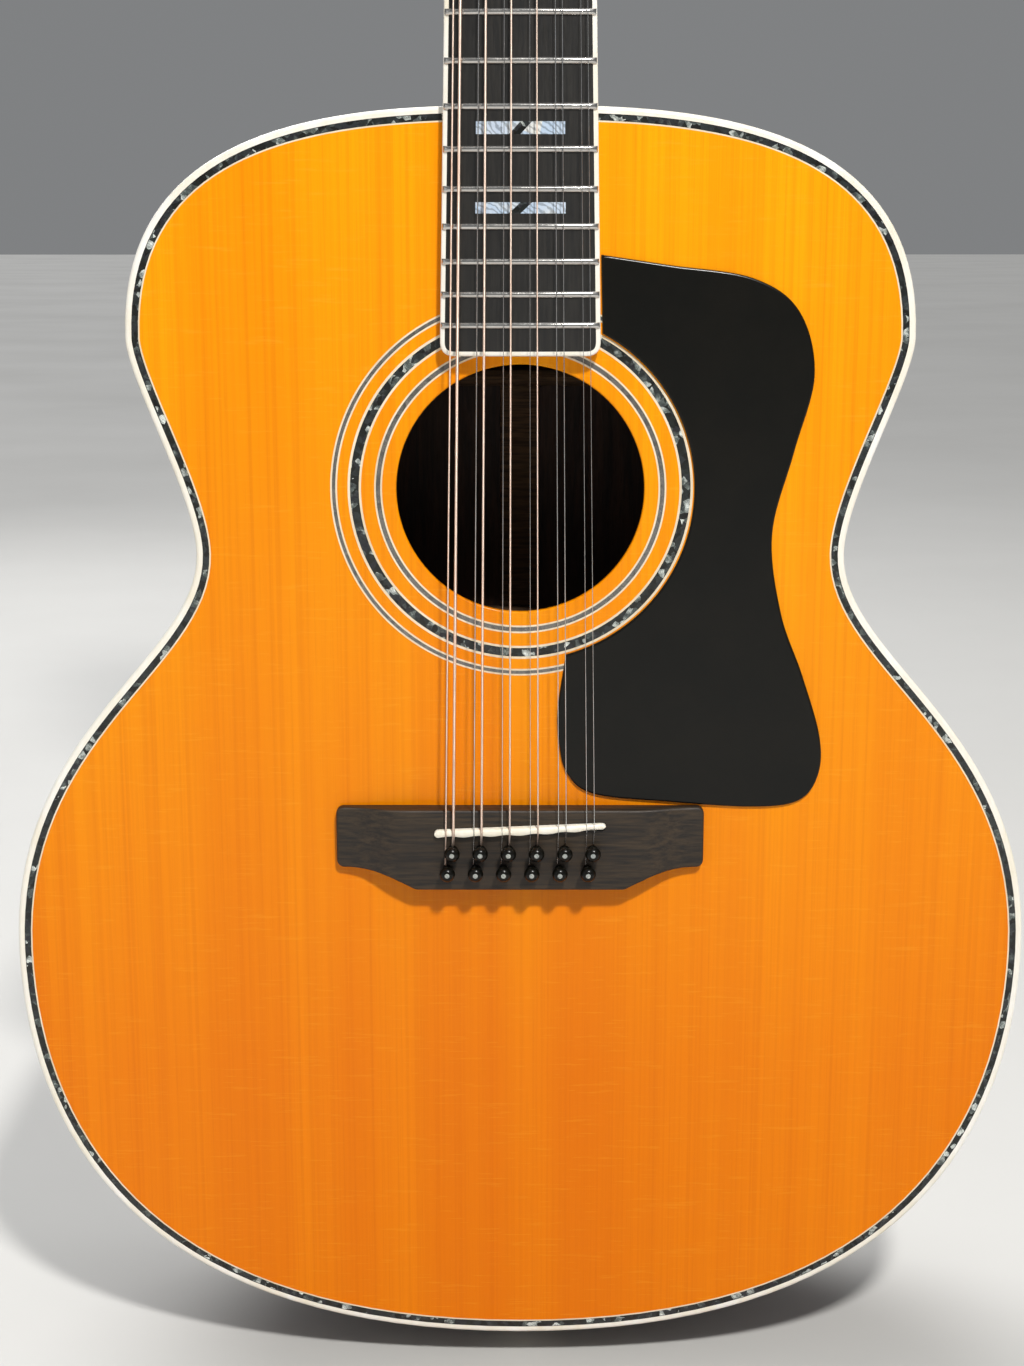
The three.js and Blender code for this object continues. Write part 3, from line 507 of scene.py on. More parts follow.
def wood(
    name, colours, grain, streak, pores, roughness, coat=0.0, coat_roughness=0.05, along="Z", mirror=False
):
    """Wood with its grain along one axis: drifting colour, darker growth lines and fine pores."""
    paint = Paint(name, Coat_Weight=coat, Coat_Roughness=coat_roughness)
    if mirror:
        paint.place = paint.node("VectorMath", {"operation": "ABSOLUTE"}, _0=paint.place).outputs[0]
    stretch = (0.06, 1, 1) if along == "X" else (1, 1, 0.06)
    lines = paint.noise(paint.stretched(*(s * grain for s in stretch)), 1, 5, 0.6, 0.4)
    drift = paint.noise(paint.stretched(*(s * grain * 0.13 for s in stretch)), 1, 3, 0.5, 0.8)
    fine = paint.noise(paint.stretched(*(s * pores for s in stretch)), 1, 2, 0.5)
    dark, middle, light = (rgb(*c) for c in colours)
    base = paint.ramp(drift, (0.3, middle), (0.7, light))
    colour = paint.mix(paint.ramp(lines, (0.5 - streak, 1.0), (0.5 + streak, 0.0)), base, dark)
    pore = paint.ramp(fine, (0.60, 0.0), (0.68, 0.45))
    colour = paint.mix(pore, colour, dark)
    rough = paint.ramp(fine, (0.4, roughness), (0.7, min(1.0, roughness + 0.12)))
    paint.set(colour, rough, paint.maths("SUBTRACT", lines, pore), 0.00004, 0.35)


def spruce_top():
    """Lacquered spruce: upright growth lines, faint cross flecks, an amber tint that deepens downwards."""
    paint = Paint("spruce_top", Coat_Weight=0.2, Coat_Roughness=0.14, Specular_IOR_Level=0.08)
    upright = paint.node("SeparateXYZ", Vector=paint.place).outputs["Z"]
    deeper = paint.ramp(paint.maths("MULTIPLY", upright, 1.8), (0.25, 1.0), (0.95, 0.0))
    drift = paint.noise(paint.stretched(26, 26, 0.8), 1, 3, 0.5, 0.3)
    lines = paint.noise(paint.stretched(520, 520, 1.6), 1, 4, 0.55, 0.15)
    broad = paint.noise(paint.stretched(130, 130, 1.1), 1, 2, 0.5)
    fine = paint.noise(paint.stretched(2400, 2400, 30), 1, 2, 0.6)
    silk = paint.noise(paint.stretched(70, 70, 1100), 1, 2, 0.5, 0.2)
    pale = paint.ramp(drift, (0.3, rgb(244, 148, 0)), (0.7, rgb(252, 170, 4)))
    deep = paint.ramp(drift, (0.3, rgb(226, 114, 0)), (0.7, rgb(240, 134, 0)))
    colour = paint.fleck(paint.mix(deeper, pale, deep), lines, 0.46, 0.68, 0.30, rgb(212, 100, 1))
    colour = paint.fleck(colour, broad, 0.5, 0.72, 0.22, rgb(222, 112, 2))
    colour = paint.fleck(colour, fine, 0.52, 0.75, 0.16, rgb(205, 96, 3))
    colour = paint.fleck(colour, silk, 0.60, 0.72, 0.14, rgb(255, 186, 60))
    paint.set(colour, paint.smudges(0.30, 0.38), paint.maths("ADD", lines, fine), 0.00003, 0.12)


def ivory(name, base, tint, roughness=0.32, coat=0.4):
    """Ivoroid or bone: cream with a very soft grain."""
    paint = Paint(name, Coat_Weight=coat, Coat_Roughness=0.1, Subsurface_Weight=0.06)
    paint.shader.inputs["Subsurface Radius"].default_value = (0.002, 0.0015, 0.001)
    cloud = paint.noise(paint.stretched(90, 90, 30), 1, 4)
    fine = paint.noise(paint.stretched(900, 900, 60), 1, 3)
    colour = paint.fleck(paint.two_tone(cloud, 0.35, 0.7, base, tint), fine, 0.55, 0.8, 0.25, rgb(*tint))
    paint.set(colour, paint.smudges(roughness - 0.05, roughness + 0.08, 40), fine, 0.00001, 0.15)


def shell(name, colours, scale, roughness=0.14, sharpness=0.6, coat=1.0, shine=0.8):
    """Pieces of shell: cells that each catch the light in another hue, crossed by wavy growth lines."""
    paint = Paint(name, Coat_Weight=coat, Coat_Roughness=0.05, Specular_IOR_Level=shine)
    warp = paint.noise(paint.place, scale * 0.8, 3)
    spread = paint.node("TexNoise", Vector=paint.place, Scale=scale * 0.5, Detail=2.0).outputs["Color"]
    bent = paint.node("Mix", {"data_type": "VECTOR"}, _0=0.004, _4=paint.place, _5=spread).outputs[1]
    cells = paint.node("TexVoronoi", Vector=bent, Scale=scale).outputs["Color"]
    key = paint.node("SeparateColor", Color=cells).outputs[0]
    waves = paint.bands(bent, "DIAGONAL", scale * 1.6, 9.0, 3.0)
    hue, drift = paint.maths("MULTIPLY", key, sharpness), paint.maths("MULTIPLY", warp, 1 - sharpness)
    steps = [(0.16 + 0.68 * i / (len(colours) - 1), rgb(*c)) for i, c in enumerate(colours)]
    colour = paint.ramp(paint.maths("ADD", hue, drift), *steps)
    colour = paint.mix(paint.ramp(waves, (0.1, 0.45), (0.5, 0.0)), colour, rgb(28, 38, 42))
    paint.set(colour, paint.smudges(roughness, roughness + 0.12, 200), waves, 0.00002, 0.2)


def metal(name, base, tint, roughness):
    """Plated metal, a little worn: fine scratches and a soft change of tone."""
    paint = Paint(name, Metallic=1.0)
    cloud = paint.noise(paint.place, 70, 5)
    scratches = paint.noise(paint.stretched(2600, 2600, 160, (20, 35, 10)), 1, 3, 0.7)
    colour = paint.fleck(rgb(*base), cloud, 0.4, 0.72, 0.8, rgb(*tint))
    mark = paint.maths("MULTIPLY", paint.ramp(scratches, (0.5, 0.0), (0.8, 1.0)), 0.14)
    rough = paint.maths("ADD", mark, paint.maths("MULTIPLY", cloud, roughness * 1.6))
    paint.set(colour, rough, scratches, 0.00001, 0.1)


def wound(name, base, dark, pitch, roughness):
    """A wound string: turns of wire round a core, with painted shade in the grooves between the turns. The
    strings run nearly upright.
    """
    paint = Paint(name, Metallic=1.0)
    turns = paint.bands(paint.stretched(1, 1, 1), "Z", 1 / pitch / 3.2, 0.0, 0.0)
    cloud = paint.noise(paint.place, 60, 3)
    # painted shade: the second colour darkens the grooves between the turns, and also lays random darker
    # patches over the wire
    colour = paint.mix(paint.ramp(turns, (0.1, 1.0), (0.45, 0.0)), rgb(*base), rgb(*dark))
    colour = paint.fleck(colour, cloud, 0.45, 0.75, 0.5, rgb(*dark))
    paint.set(colour, paint.smudges(roughness, roughness + 0.12, 90), turns, 0.0001, 0.6)


def plastic(name, base, tint, roughness, coat=0.5):
    """Moulded or sheet plastic with hairline polishing marks."""
    paint = Paint(name, Coat_Weight=coat, Coat_Roughness=0.2, Specular_IOR_Level=0.12)
    cloud = paint.noise(paint.place, 30, 5)
    hair = paint.noise(paint.stretched(1800, 1800, 90, (0, 38, 0)), 1, 3, 0.6)
    rough = paint.ramp(hair, (0.5, roughness), (0.85, roughness + 0.2))
    paint.set(paint.two_tone(cloud, 0.4, 0.75, base, tint), rough, hair, 0.00001, 0.12)


def floor_paint():
    paint = Paint("floor", Specular_IOR_Level=0.3)
    cloud = paint.noise(paint.place, 1.1, 5)
    speck = paint.noise(paint.place, 340, 3)
    colour = paint.two_tone(cloud, 0.3, 0.75, (204, 203, 200), (194, 193, 190))
    paint.set(colour, paint.ramp(cloud, (0.3, 0.55), (0.7, 0.68)), speck, 0.0002, 0.15)


# ---------- materials ----------
BARE_SPRUCE = (176, 134, 84), (212, 172, 118), (224, 188, 136)
ABALONE = (
    (20, 19, 16), (30, 29, 25), (36, 38, 34), (52, 56, 56), (40, 38, 42), (96, 104, 100), (226, 232, 226)
)
spruce_top()
wood("rosewood", ((28, 12, 9), (74, 34, 24), (104, 52, 34)), 330, 0.13, 2600, 0.3, 1.0, 0.06)
BACK_BROWNS = (26, 11, 9), (78, 36, 25), (110, 56, 37)
wood("rosewood_back", BACK_BROWNS, 240, 0.12, 2600, 0.28, 1.0, 0.06, mirror=True)
# bare rosewood, its colour darkened with painted shade for the faces deep inside the soundbox
wood("rosewood_bare_shaded", ((26, 14, 9), (52, 31, 21), (66, 42, 29)), 330, 0.13, 2600, 0.7)
# bare spruce painted much darker: painted shade on the back's braces and strip deep inside the soundbox
wood("shaded_spruce", ((62, 44, 26), (88, 64, 40), (100, 74, 48)), 900, 0.10, 2600, 0.8, along="X")
wood("bare_spruce", BARE_SPRUCE, 900, 0.10, 2600, 0.72, along="X")
wood("bare_spruce_upright", BARE_SPRUCE, 900, 0.10, 2600, 0.72)
wood("mahogany", ((66, 26, 12), (112, 54, 27), (134, 68, 36)), 520, 0.16, 2400, 0.32, 0.9, 0.07)
wood("mahogany_bare", ((104, 58, 34), (150, 94, 60), (168, 110, 74)), 520, 0.16, 2400, 0.65)
wood("ebony", ((20, 17, 13), (44, 37, 27), (56, 48, 36)), 700, 0.14, 3200, 0.44, 0.12, 0.3)
wood("ebony_flat", ((22, 17, 12), (50, 38, 24), (62, 49, 33)), 700, 0.14, 3200, 0.5, along="X")
wood("ebony_dark", ((12, 11, 10), (27, 25, 22), (36, 33, 29)), 700, 0.14, 3200, 0.36, 0.25, 0.25)
wood("maple", ((196, 156, 108), (222, 190, 146), (234, 206, 166)), 260, 0.2, 1800, 0.6, along="X")
ivory("ivoroid", (246, 243, 236), (236, 228, 208))
ivory("pale_line", (240, 226, 200), (222, 202, 170), 0.36)
ivory("bone", (247, 243, 231), (236, 226, 200), 0.38, 0.2)
shell("abalone", ABALONE, 380, coat=0.25, shine=0.25)
PEARL_TONES = (170, 188, 212), (204, 216, 230), (184, 204, 226), (226, 226, 220), (192, 198, 216)
shell("pearl", PEARL_TONES, 120, 0.16, 0.35)
shell("pearl_dot", ((120, 124, 120), (168, 172, 164), (146, 152, 150), (190, 190, 180)), 420, 0.2, 0.4)
shell("rosette_dark", ((70, 66, 60), (92, 88, 80), (110, 104, 96), (84, 82, 80)), 420, 0.2, 0.5)
plastic("black_gloss", (9, 9, 6), (16, 14, 9), 0.3, 0.25)
plastic("black_line", (20, 18, 16), (30, 26, 22), 0.3)
plastic("marquetry", (120, 74, 44), (58, 34, 22), 0.4)
metal("gold", (236, 186, 92), (214, 158, 66), 0.2)
metal("gold_post", (226, 182, 100), (204, 156, 72), 0.24)
metal("nickel", (206, 204, 200), (180, 176, 170), 0.2)
metal("steel", (150, 152, 156), (120, 120, 122), 0.42)
metal("plain_string", (214, 214, 214), (176, 174, 170), 0.22)
# the second colour is painted shade in the grooves between the turns, and random darker patches
wound("bronze_string", (255, 238, 224), (214, 178, 156), 0.00032, 0.42)
floor_paint()


# ---------- body ----------
BOUTS = ((215.5, 194.5, 95.7, 97.8), (133.6, 366.5, 44.7, 24), (159.6, 454.5, 17, 90))
TOP_THICK = 3.2
BACK_THICK = 3.0
BACK_SKIN = 1.6  # of the back's gloss outer boards, over its bare inner face
RIM = 2.6  # thickness of the sides
RIM_SKIN = 1.4
BINDING_WIDE = 2.8
BINDING_TALL = 6.0
SIDE_LINES = 1.1  # how far the lines beside a binding reach over the sides


def body_outline():
    """The body's outline from the tail, anticlockwise, as (x, z) points."""
    half = []
    start, leave = (0, TAIL_Z), (160, TAIL_Z)
    for reach, z, below, above in BOUTS:
        half += bezier(start, leave, (reach, z - below), (reach, z), steps=32)
        start, leave = (reach, z), (reach, z + above)
    half += bezier(start, leave, (60, TOP_Z), (0, TOP_Z), steps=40)
    return half + [(0, TOP_Z)] + [(-x, z) for x, z in reversed(half[1:])]


OUTLINE = body_outline()


def outline_half(z):
    """Half the body's width at a height."""
    right = [(x, h) for x, h in OUTLINE if x >= 0]
    for (x0, z0), (x1, z1) in zip(right, right[1:]):
        if z0 <= z <= z1:
            return x0 + (x1 - x0) * (z - z0) / max(1e-6, z1 - z0)
    return 0.0


def rings(name, material, insets, front, back, slot="binding", replaces=None, **rounds):
    """Rings round the body between pairs of insets, as one piece."""
    parts = [plate(inset(OUTLINE, a), [inset(OUTLINE, b)], front, back, **rounds) for a, b in insets]
    piece(name, parts, material, replaces=replaces)


def top_plate():
    hole = circle(HOLE_RADIUS, 120, 0, HOLE_Z)
    board = plate(inset(OUTLINE, 6.1), [hole], FRONT_Y, FRONT_Y + TOP_THICK, hole_round=0.7)
    piece("soundboard_plate", board, "spruce_top", replaces="soundboard")


def body_trims():
    """Bindings on both edges, the shell purfling of the top, and the lines between them."""
    front = FRONT_Y, FRONT_Y + TOP_THICK
    back_lines = under_back(BACK_THICK), back_y
    rings("top_binding_strip", "ivoroid", [(0, BINDING_WIDE)], FRONT_Y, FRONT_Y + BINDING_TALL,
          replaces="top_binding", round_front=1.3)
    rings("top_purfling_shell", "abalone", [(3.05, 5.4)], *front)
    rings("top_purfling_lines", "pale_line", [(5.5, 6.1)], *front)
    rings("top_purfling_dark", "black_line", [(BINDING_WIDE, 3.05), (5.4, 5.5)], *front)
    rings("back_binding_strip", "ivoroid", [(0, BINDING_WIDE)], under_back(BINDING_TALL), back_y,
          replaces="back_binding", round_back=1.3)
    rings("back_purfling_dark", "black_line", [(BINDING_WIDE, 3.2), (3.8, 4.2)], *back_lines)
    rings("back_purfling_pale", "pale_line", [(3.2, 3.8)], *back_lines)


def body_sides():
    """The sides, gloss outside and bare inside, with a dark and a pale line along each binding."""
    front = FRONT_Y + BINDING_TALL
    wood_from, wood_to = front + SIDE_LINES, under_back(BINDING_TALL + SIDE_LINES)
    line = [(0.02, RIM)]
    rings("side_line_dark_front", "black_line", line, front, front + 0.5)
    rings("side_line_pale_front", "pale_line", line, front + 0.5, wood_from)
    rings("side_line_dark_back", "black_line", line, under_back(6.5), under_back(6))
    rings("side_line_pale_back", "pale_line", line, wood_to, under_back(6.5))
    rings("rim_outside", "rosewood", [(0.02, RIM_SKIN)], wood_from, wood_to, "rosewood", "sides")
    # the inner face of the sides: bare rosewood darkened with painted shade
    rings("rim_inside", "rosewood_bare_shaded", [(RIM_SKIN, RIM)], wood_from, wood_to, "rosewood")


def tail_strip():
    """A wedge-shaped inlay, edged in black, that covers the joint of the two sides at the tail."""
    front = FRONT_Y + BINDING_TALL + SIDE_LINES
    back = back_y(TAIL_Z) - BINDING_TALL - SIDE_LINES
    for name, material, grow, proud in (
        ("tail_strip", "ivoroid", 0.0, 0.12), ("tail_strip_edges", "black_line", 0.7, 0.08),
    ):
        loops = []
        for share in (0, 0.25, 0.5, 0.75, 1):
            y = front + (back - front) * share
            xs = [(6 + 6 * share + grow) * (k / 6 - 1) for k in range(13)]
            outer = [Vector((x, y, TAIL_Z - proud + 0.0011 * x * x)) for x in xs]
            loops.append(outer + [Vector((x, y, TAIL_Z + 0.6)) for x in reversed(xs)])
        piece(name, loft(loops), material)


def board_outline(side, edge):
    """One half of the back, from its strip's edge outwards, anticlockwise."""
    right = [(x, z) for x, z in inset(OUTLINE, 4.2) if x >= edge]
    right = [(edge, right[0][1])] + right + [(edge, right[-1][1])]
    return right if side > 0 else [(-x, z) for x, z in reversed(right)]


def back():
    """Two bookmatched boards with an inlaid strip between them, gloss outside and bare inside."""
    boards = under_back(BACK_SKIN), back_y
    for side, name in ((-1, "bass"), (1, "treble")):
        board = plate(board_outline(side, 3.2), [], *boards)
        replaces = "back_plate" if side < 0 else None
        piece(f"back_board_{name}", board, "rosewood_back", replaces=replaces)
    bare = plate(inset(OUTLINE, RIM + 0.3), [], under_back(BACK_THICK), under_back(BACK_SKIN))
    # the back's inner face: bare rosewood darkened with painted shade
    piece("back_inner_face", bare, "rosewood_bare_shaded")
    low, high = TAIL_Z + 4.2, TOP_Z - 4.2
    for name, material, spans in (
        ("back_strip_edges", "black_line", [(-3.2, -2.6), (2.6, 3.2)]),
        ("back_strip_pale", "pale_line", [(-2.6, -1.9), (1.9, 2.6)]),
        ("back_strip_middle", "marquetry", [(-1.9, 1.9)]),
    ):
        bars = [plate([(b, low), (b, high), (a, high), (a, low)], [], *boards) for a, b in spans]
        piece(name, bars, material)


def rosette():
    """Inlaid rings round the soundhole: shell between two dark rings, each of them edged in pale."""
    pale = [(56.6, 57.3), (59.1, 59.8), (65.2, 66.1), (69.7, 70.7), (75.0, 75.7), (77.1, 77.8)]
    for name, material, spans in (
        ("rosette_pale", "pale_line", pale),
        ("rosette_dark", "rosette_dark", [(57.3, 59.1), (75.7, 77.1)]),
        ("rosette_shell", "abalone", [(66.1, 69.7)]),
    ):
        edges = [[circle(radius, 144, 0, HOLE_Z) for radius in span] for span in spans]
        piece(name, [plate(b, [a], FRONT_Y - 0.04, FRONT_Y + 0.3) for a, b in edges], material)


def cross_brace(z, tall, face, way):
    """A brace across the body on an inner face, round on its free edge and thin at both ends."""
    reach = outline_half(z) - 11.5
    half = 4.5
    loops = []
    for share in (-1, -0.97, -0.86, -0.7, -0.4, 0, 0.4, 0.7, 0.86, 0.97, 1):
        high = 2.2 + (tall - 2.2) * min(1.0, (1 - abs(share)) / 0.3) ** 0.7
        section = [(-half, 0), (half, 0), (half, high * 0.55), (half * 0.62, high * 0.9), (0, high)]
        section += [(-half * 0.62, high * 0.9), (-half, high * 0.55)]
        loops.append([Vector((share * reach, face(z) + way * h, z + a)) for a, h in section])
    return loft(loops)


def inside():
    """The soundbox's own woodwork: linings, blocks, the top's bracing, and the back's braces and strip."""
    softened("top_lining", "bare_spruce_upright", 0.8)
    softened("back_lining", "bare_spruce_upright", 0.8)
    softened("neck_block", "mahogany_bare", 1.0)
    softened("tail_block", "mahogany_bare", 1.0)
    softened("top_bracing", "bare_spruce", 0.8)
    softened("bridge_plate", "maple", 0.5)
    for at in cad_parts["truss_rod"].material_slots:
        at.material = MATERIALS["steel"]
    inner = FRONT_Y + TOP_THICK + 0.1
    piece("transverse_brace", cross_brace(478, 11, lambda z: inner, 1), "bare_spruce")
    hole = circle(HOLE_RADIUS + 0.8, 72, 0, HOLE_Z)
    ring = plate(circle(61, 72, 0, HOLE_Z), [hole], inner, inner + 1.3, round_back=0.5)
    piece("soundhole_ring", ring, "bare_spruce")
    on_back = under_back(BACK_THICK + 0.05)
    braces = ((96, 11), (196, 11), (320, 14), (432, 14))
    across = [cross_brace(z, tall, on_back, -1) for z, tall in braces]
    # the back's braces and strip wear spruce darkened with painted shade
    piece("back_braces", across, "shaded_spruce")
    lows = [38] + [z + 5 for z, _ in braces]
    highs = [z - 5 for z, _ in braces] + [497]
    strips = [
        plate([(9, a), (9, b), (-9, b), (-9, a)], [], under_back(4.6), on_back, round_front=0.6)
        for a, b in zip(lows, highs)
    ]
    piece("back_inside_strip", strips, "shaded_spruce")


top_plate()
body_trims()
body_sides()
tail_strip()
back()
rosette()
inside()


# ---------- pickguard ----------
GUARD_EDGE = [
    (60, 227.5), (93, 222.5), (112, 209.5), (119, 184), (111.5, 152.5), (103.5, 119), (108, 86), (117.5, 60),
    (125.5, 34),
]
GUARD_FOOT = [
    (125.5, 17), (117.5, 5.8), (98, 3), (62, 5.2), (31, 8.6), (19.5, 18), (16, 34), (16, 48), (19.1, 68.6),
]
GUARD_TOP = 231.6  # where its edge meets the fingerboard, above the saddle
GUARD_ARC = 71.3  # radius of the edge along the rosette


def pickguard():
    """A thin sheet that fills the corner between the fingerboard, the rosette and the bridge."""
    start = (board_half(BRIDGE_Z + GUARD_TOP) + 0.8, GUARD_TOP)
    edge = spline([start] + GUARD_EDGE + GUARD_FOOT, 10)
    outline = [(x, BRIDGE_Z + up) for x, up in edge[:-1]]
    for turn in arc(math.radians(-74.5), math.radians(62.3), 48):
        outline.append((GUARD_ARC * math.cos(turn), HOLE_Z + GUARD_ARC * math.sin(turn)))
    face = node_box("pickguard")[0].y
    sheet = plate(outline[::-1], [], face, GLUE, round_front=0.8)
    piece("pickguard_sheet", sheet, "black_gloss", replaces="pickguard")


# ---------- bridge, saddle and pins ----------
BRIDGE_HALF = 77.6
BRIDGE_CORNER = 3.0
BRIDGE_ABOVE = 3.5
BRIDGE_THICK = 9.0
BRIDGE_ROUND = 1.1
WING_BELOW = 22.8
WING_THICK = 4.0
WING_END = BRIDGE_HALF - BRIDGE_CORNER
BELLY_BELOW = 31.4
BELLY_HALF = 44
BELLY = bezier(
    (WING_END, -WING_BELOW), (60, -WING_BELOW), (54, 5.2 - BELLY_BELOW), (BELLY_HALF, -BELLY_BELOW), steps=90
) + [(BELLY_HALF, -BELLY_BELOW)]
SCOOP = bezier((48, BRIDGE_THICK), (60, BRIDGE_THICK), (62, WING_THICK), (78, WING_THICK), steps=60)
BRIDGE_TOP_Y = FRONT_Y - 9.3

SADDLE_END = 36
SADDLE_HALF = 1.65
SADDLE_CREST = FRONT_Y - 12.4
SADDLE_FOOT = node_box("saddle")[1].y

PIN_ROWS = ((-1, -22.6), (1, -13.9))
PINS = [
    ((course - 2.5) * COURSE_STEP + across, BRIDGE_Z + up) for course in range(6) for across, up in PIN_ROWS
]
PIN_PROFILE = [
    (0, -14), (1.2, -14), (1.5, -13), (2.05, -0.2), (2.1, 1.6), (2.15, 2.3), (2.6, 2.5), (2.8, 2.75),
    (2.65, 3.1), (2.3, 3.3), (2.5, 3.6), (3.0, 4.0), (3.28, 4.7), (3.3, 5.4), (3.1, 6.3), (2.6, 7.1),
    (1.9, 7.65), (1.3, 7.86), (0, 7.88),
]
PIN_DOT = [(0, 7.5), (1.0, 7.5), (1.02, 7.88), (0.8, 7.95), (0, 7.98)]
PIN_HOLE = [(0, -16), (2.25, -16), (2.25, -0.6), (2.6, 0.1), (2.6, 3), (0, 3)]


def fallen(beyond, radius):
    """How far a rounded edge has fallen away, at a distance beyond where it starts."""
    share = min(1.0, max(0.0, beyond) / radius)
    return radius * (1 - math.sqrt(1 - share * share))


def bridge_span(x):
    """The lowest and highest z of the bridge at a distance from its middle."""
    nick = fallen(x - WING_END, BRIDGE_CORNER)
    if x <= BELLY_HALF:
        low = -BELLY_BELOW
    elif x <= WING_END:
        low = next(z for at, z in BELLY if at <= x + 1e-6)
    else:
        low = nick - WING_BELOW
    return BRIDGE_Z + low, BRIDGE_Z + BRIDGE_ABOVE - nick


def bridge_blank():
    """The bridge as sections along x, with every edge of its face rounded over."""
    ends = [WING_END + BRIDGE_CORNER * math.sin(turn) for turn in arc(0, math.pi / 2, 8)[1:]]
    stations = [-x for x in reversed(ends)] + [WING_END * (k / 60 - 1) for k in range(121)] + ends
    quarter = arc(0, math.pi / 2, 5)
    rounds = [(BRIDGE_ROUND * (1 - math.sin(t)), BRIDGE_ROUND * (1 - math.cos(t))) for t in quarter]
    loops = []
    for x in stations:
        reach = abs(x)
        low, high = bridge_span(reach)
        tall = BRIDGE_THICK if reach <= 48 else between(SCOOP, reach)
        face = GLUE - tall + fallen(reach - BRIDGE_HALF + BRIDGE_ROUND, BRIDGE_ROUND)
        loop = [(GLUE, high), (GLUE, low)]
        loop += [(face + a, low + b) for a, b in rounds]
        loop += [(face + b, high - a) for a, b in rounds]
        loops.append([Vector((x, y, z)) for y, z in loop])
    return loft(loops)


def along_saddle(half, section):
    """A body along the slanted saddle with round ends, from section(x, half width there) as (across, y)."""
    end = SADDLE_END - SADDLE_HALF
    right = [end + half * math.sin(t) for t in arc(0, math.pi / 2, 7)[:-1]]
    loops = []
    for x in [-x for x in reversed(right)] + [end * k / 24 for k in range(-23, 24)] + right:
        over = max(0.0, abs(x) - end) / half
        rows = section(x, half * math.sqrt(max(0.02, 1 - over * over)))
        loops.append([Vector((x, y, saddle_z(x) + across)) for across, y in rows])
    return loft(loops)


def saddle_z(x):
    """The slanted saddle's middle line."""
    return BRIDGE_Z - 4.9 + x * 3.0 / 72


def saddle_section(x, wide):
    """A rounded crown, whose front edge is cut back under each course."""
    top = SADDLE_CREST + camber(x)
    course = (x / COURSE_STEP + 2.5) % 1.0
    cut = 0.275 * (1 + math.cos(2 * math.pi * course)) + 0.9 * max(0.0, x / SADDLE_END) ** 2
    cut = min(cut, 1.4 * wide)
    return [
        (-wide, SADDLE_FOOT), (wide, SADDLE_FOOT), (wide, top + 0.825), (wide * 0.8, top + 0.25),
        (wide * 0.35, top), (cut - wide * 0.55, top), (cut - wide * 0.95, top + 0.35),
        (cut * 0.9 - wide, top + 1.32), (-wide, top + 3.0),
    ]


def at_pin(x, z):
    """Puts a body on the bridge's face at a pin."""
    return lambda v: v + Vector((x, BRIDGE_TOP_Y, z))


def bridge():
    low, high = SADDLE_FOOT + 0.3, BRIDGE_TOP_Y - 4
    slot = along_saddle(
        SADDLE_HALF + 0.12, lambda x, wide: [(-wide, low), (wide, low), (wide, high), (-wide, high)]
    )
    holes = [lathe(PIN_HOLE, 24, at_pin(x, z)) for x, z in PINS]
    carved("bridge_block", bridge_blank(), [slot] + holes, "ebony_flat", replaces="bridge")
    saddle = along_saddle(SADDLE_HALF, saddle_section)
    piece("saddle_bone", saddle, "bone", replaces="saddle", sharp=50)
    pins = [lathe(PIN_PROFILE, 28, at_pin(x, z)) for x, z in PINS]
    piece("bridge_pins", pins, "black_gloss", sharp=40)
    dots = [lathe(PIN_DOT, 20, at_pin(x, z)) for x, z in PINS]
    piece("bridge_pin_dots", dots, "pearl_dot", sharp=40)


# ---------- fingerboard ----------
BOARD_BINDING = 1.9
BOARD_CORNER = 6.0
BOARD_END = BOARD_LOW.z
FRETS = [BRIDGE_Z + SCALE * 2 ** (-n / 12) for n in range(1, 21)]
FRET_SECTION = (
    (-1.25, 0.12), (-1.18, 0.45), (-0.85, 0.8), (-0.4, 0.97), (0, 1.0), (0.4, 0.97), (0.85, 0.8),
    (1.18, 0.45), (1.25, 0.12),
)
MARKED = (1, 3, 5, 7, 9, 12, 15, 17)  # frets with an inlay below them
SIDE_DOT = [(0, -0.6), (0.95, -0.6), (0.95, 0.02), (0.7, 0.07), (0, 0.08)]


def on_board(x, z, above=0.0):
    """A point on the fingerboard's crowned face."""
    return Vector((x, BOARD_Y + camber(x) - above, z))


def quadratic(start, corner, end, steps):
    """Points of a curve that turns once, both ends included."""
    return [
        tuple((1 - t) ** 2 * a + 2 * t * (1 - t) * b + t * t * c for a, b, c in zip(start, corner, end))
        for t in arc(0, 1, steps)
    ]


def board_edge():
    """The right half of the fingerboard's outline, from the nut down and round to the middle of its end."""
    side_z = BOARD_END + BOARD_CORNER
    wide = board_half(BOARD_END)
    points = [(board_half(z), z) for z in arc(NUT_Z, side_z, 24)[:-1]]
    end = wide - BOARD_CORNER, BOARD_END
    points += quadratic((board_half(side_z), side_z), (wide, BOARD_END), end, 12)
    return points + [((wide - BOARD_CORNER) * (1 - k / 6), BOARD_END) for k in range(1, 7)]


def inner_edge(points):
    """The same half outline moved inwards by the binding's width."""
    made = []
    for i, (x, z) in enumerate(points):
        before, after = points[max(i - 1, 0)], points[min(i + 1, len(points) - 1)]
        along = Vector((after[0] - before[0], after[1] - before[1])).normalized() * BOARD_BINDING
        made.append((max(0.0, x + along.y), z - along.x))
    return made


